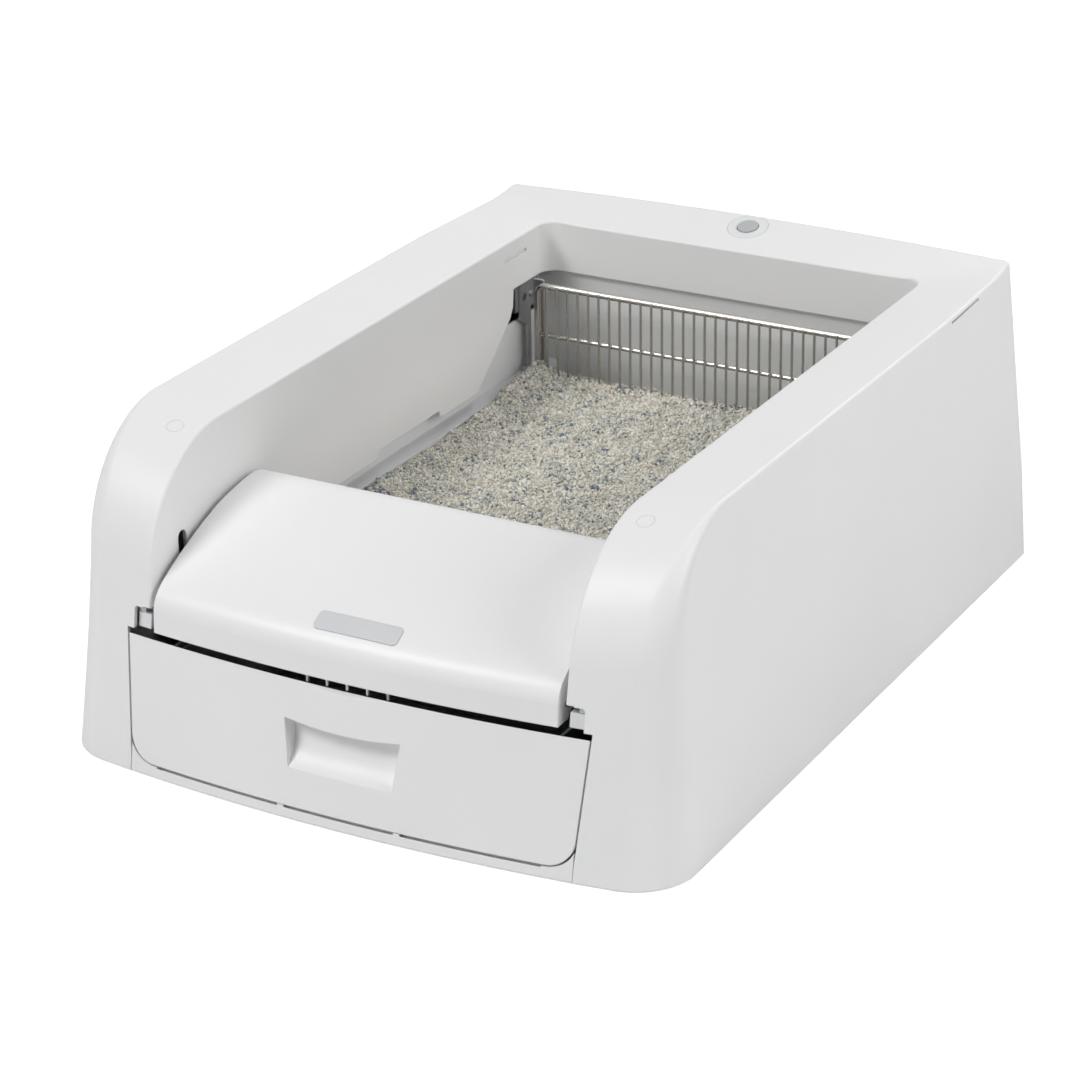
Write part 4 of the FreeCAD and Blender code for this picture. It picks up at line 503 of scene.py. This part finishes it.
def icosahedron():
    """The twelve corners and twenty faces of a regular icosahedron of radius one."""
    golden = (1 + 5 ** 0.5) / 2
    corners = []
    for first in (-1, 1):
        for second in (-golden, golden):
            corners += [(0, first, second), (first, second, 0), (second, 0, first)]
    points = np.array(corners, dtype=float)
    points /= np.linalg.norm(points[0])
    edge = np.min([np.linalg.norm(points[0] - other) for other in points[1:]])
    close = np.linalg.norm(points[:, None] - points[None], axis=-1) < edge * 1.1
    faces = []
    for a in range(CORNERS):
        for b in range(a + 1, CORNERS):
            for c in range(b + 1, CORNERS):
                if close[a, b] and close[b, c] and close[a, c]:
                    outward = np.dot(np.cross(points[b] - points[a], points[c] - points[a]), points[a])
                    faces.append((a, b, c) if outward > 0 else (a, c, b))
    return points, np.array(faces)


def random_turns(random, count):
    """Random rotation matrices from random unit quaternions."""
    quaternion = random.normal(size=(count, 4))
    w, x, y, z = (quaternion / np.linalg.norm(quaternion, axis=1, keepdims=True)).T
    return np.stack([
        1 - 2 * (y * y + z * z), 2 * (x * y - z * w), 2 * (x * z + y * w),
        2 * (x * y + z * w), 1 - 2 * (x * x + z * z), 2 * (y * z - x * w),
        2 * (x * z - y * w), 2 * (y * z + x * w), 1 - 2 * (x * x + y * y),
    ], axis=-1).reshape(count, 3, 3)


TINES = 32
BEAD_RADII = (0.0017, 0.0013, 0.0017)
BEAD_OUT = 0.0003


def weld_beads(material):
    """A small bead where each upright wire of the rake meets one of its two rods."""
    low, high = (Vector(corner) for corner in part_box("rake_tines"))
    wire = (high.y - low.y) / 2
    columns = np.linspace(low.x + wire, high.x - wire, TINES)
    heights = []
    for rod in ("rake_top_rod", "rake_cross_rod"):
        rod_low, rod_high = (Vector(corner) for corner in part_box(rod))
        heights.append(rod_high.z - (rod_high.y - rod_low.y) / 2)
    x, z = (values.ravel() for values in np.meshgrid(columns, heights))
    centres = np.stack([x, np.full_like(x, high.y + BEAD_OUT), z], axis=-1)
    random = np.random.default_rng(21)
    corners, faces = icosahedron()
    sizes = np.array(BEAD_RADII) * random.uniform(0.85, 1.15, (len(x), 3))
    points = corners[None] * sizes[:, None, :] + centres[:, None, :]
    all_faces = (faces[None] + np.arange(len(x))[:, None, None] * CORNERS).reshape(-1, 3)
    mesh = mesh_from_arrays("weld_beads", points.reshape(-1, 3), all_faces)
    add_object("weld_beads", mesh, material, "rake")


GRAIN_PITCH = 0.00168
GRAIN_PARTS = 5
GRAIN_RADIUS = 0.00094
GRAIN_SPREAD = 0.3
GRAIN_LEAST, GRAIN_MOST = 0.0005, 0.0019
GRAIN_SIDE_GAP = 0.0015
GRAIN_FRONT_GAP = 0.002
GRAIN_END_GAP = 0.001
PATCH_PITCH = 0.011
PATCH_SHARE = 0.14


def litter_grains(material):
    """Jittered grains on a close lattice over the surface, each a squashed, turned icosahedron."""
    random = np.random.default_rng(11)
    x_line = np.arange(-LITTER_HALF + GRAIN_SIDE_GAP, LITTER_HALF - GRAIN_END_GAP, GRAIN_PITCH)
    y_line = np.arange(LITTER_FRONT + GRAIN_FRONT_GAP, LITTER_REAR - GRAIN_END_GAP, GRAIN_PITCH)
    x, y = (values.ravel() for values in np.meshgrid(x_line, y_line))
    count = len(x)
    x = np.clip(x + random.uniform(-0.5, 0.5, count) * GRAIN_PITCH, -LITTER_HALF, LITTER_HALF)
    y = y + random.uniform(-0.5, 0.5, count) * GRAIN_PITCH
    radius = random.lognormal(math.log(GRAIN_RADIUS), GRAIN_SPREAD, count)
    radius = np.clip(radius, GRAIN_LEAST, GRAIN_MOST)
    height = litter_height(x, y) + radius * random.uniform(-0.1, 0.75, count)
    axes = radius[:, None] * random.uniform(0.7, 1.25, (count, 3))
    tone = random.uniform(0.0, 1.0, count) + PATCH_SHARE * smooth_noise(x, y, PATCH_PITCH, 9)
    tone = np.clip(tone, 0.0, 1.0)
    turns = random_turns(random, count)
    corners, faces = icosahedron()
    bumps = random.uniform(0.86, 1.1, (count, CORNERS, 1))
    local = corners[None] * bumps * axes[:, None, :]
    points = np.einsum("nij,nkj->nki", turns, local) + np.stack([x, y, height], axis=-1)[:, None, :]
    for part in range(GRAIN_PARTS):
        chosen = slice(part * count // GRAIN_PARTS, (part + 1) * count // GRAIN_PARTS)
        some = points[chosen]
        all_faces = (faces[None] + np.arange(len(some))[:, None, None] * CORNERS).reshape(-1, 3)
        mesh = mesh_from_arrays("litter_grains_%d" % (part + 1), some.reshape(-1, 3), all_faces)
        mark = mesh.attributes.new("tone", "FLOAT", "POINT")
        mark.data.foreach_set("value", np.repeat(tone[chosen], CORNERS).astype(np.float32))
        add_object(mesh.name, mesh, material, "base", smooth=False)


GRAIN_TONES = (
    (0.0, colour(246, 244, 236)), (0.12, colour(236, 231, 218)), (0.38, colour(222, 217, 204)),
    (0.6, colour(204, 201, 191)), (0.74, colour(242, 240, 233)), (0.84, colour(182, 187, 187)),
    (0.92, colour(152, 163, 170)), (0.97, colour(122, 136, 148)),
)


GRAIN_RELIEF = 0.0002
GRAIN_SPECKS = 2600.0
# The bed takes the grains' tones darkened to this share: painted shade between the loose grains.
BED_SHADE_SHARE = 0.72
BED_RELIEF = 0.0008
BED_CELLS = 480.0


def tone_ramp(tree, share):
    """A stepped ramp of the grains' tones, scaled by a share; below one the share paints shade."""
    ramp = tree.nodes.new("ShaderNodeValToRGB")
    ramp.color_ramp.interpolation = "CONSTANT"
    steps = ramp.color_ramp.elements
    while len(steps) < len(GRAIN_TONES):
        steps.new(1.0)
    for step, (position, tint) in zip(steps, GRAIN_TONES):
        step.position = position
        step.color = tuple(part * share for part in tint[:3]) + (1.0,)
    return ramp


def grain_material():
    """Mineral grains: each takes one of a few tones, with a fine mottling on it."""
    material, tree, shader = new_material("litter_grain")
    shader.inputs["Specular IOR Level"].default_value = 0.3
    mark = tree.nodes.new("ShaderNodeAttribute")
    mark.attribute_name = "tone"
    ramp = tone_ramp(tree, 1.0)
    place = tree.nodes.new("ShaderNodeTexCoord")
    speck = noise(tree, place.outputs["Object"], GRAIN_SPECKS, 3.0)
    shade = tree.nodes.new("ShaderNodeMix")
    shade.data_type = "RGBA"
    shade.blend_type = "MULTIPLY"
    shade.inputs["Factor"].default_value = 1.0
    tree.links.new(mark.outputs["Fac"], ramp.inputs["Fac"])
    tree.links.new(ramp.outputs["Color"], shade.inputs["A"])
    tree.links.new(stretch(tree, speck, 0.82, 1.06), shade.inputs["B"])
    tree.links.new(shade.outputs["Result"], shader.inputs["Base Color"])
    tree.links.new(stretch(tree, speck, 0.75, 0.95), shader.inputs["Roughness"])
    add_relief(tree, shader, speck, GRAIN_RELIEF)
    return material


def bed_material():
    """The litter under the loose grains: packed cells of the same tones, darker as painted shade between the
    grains.
    """
    material, tree, shader = new_material("litter_bed")
    shader.inputs["Roughness"].default_value = 0.9
    shader.inputs["Specular IOR Level"].default_value = 0.2
    place = tree.nodes.new("ShaderNodeTexCoord")
    cells = tree.nodes.new("ShaderNodeTexVoronoi")
    cells.inputs["Scale"].default_value = BED_CELLS
    tree.links.new(place.outputs["Object"], cells.inputs["Vector"])
    pick = tree.nodes.new("ShaderNodeSeparateColor")
    ramp = tone_ramp(tree, BED_SHADE_SHARE)
    tree.links.new(cells.outputs["Color"], pick.inputs["Color"])
    tree.links.new(pick.outputs["Red"], ramp.inputs["Fac"])
    tree.links.new(ramp.outputs["Color"], shader.inputs["Base Color"])
    add_relief(tree, shader, cells.outputs["Distance"], BED_RELIEF).invert = True
    return material


scene.view_settings.view_transform = "Standard"
make_camera()
make_world()
make_floor()
make_lights()
dress_frame()
surface = litter_surface(bed_material())
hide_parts("litter_bed")
litter_grains(grain_material())
weld_beads(finishes["rake_wire"])
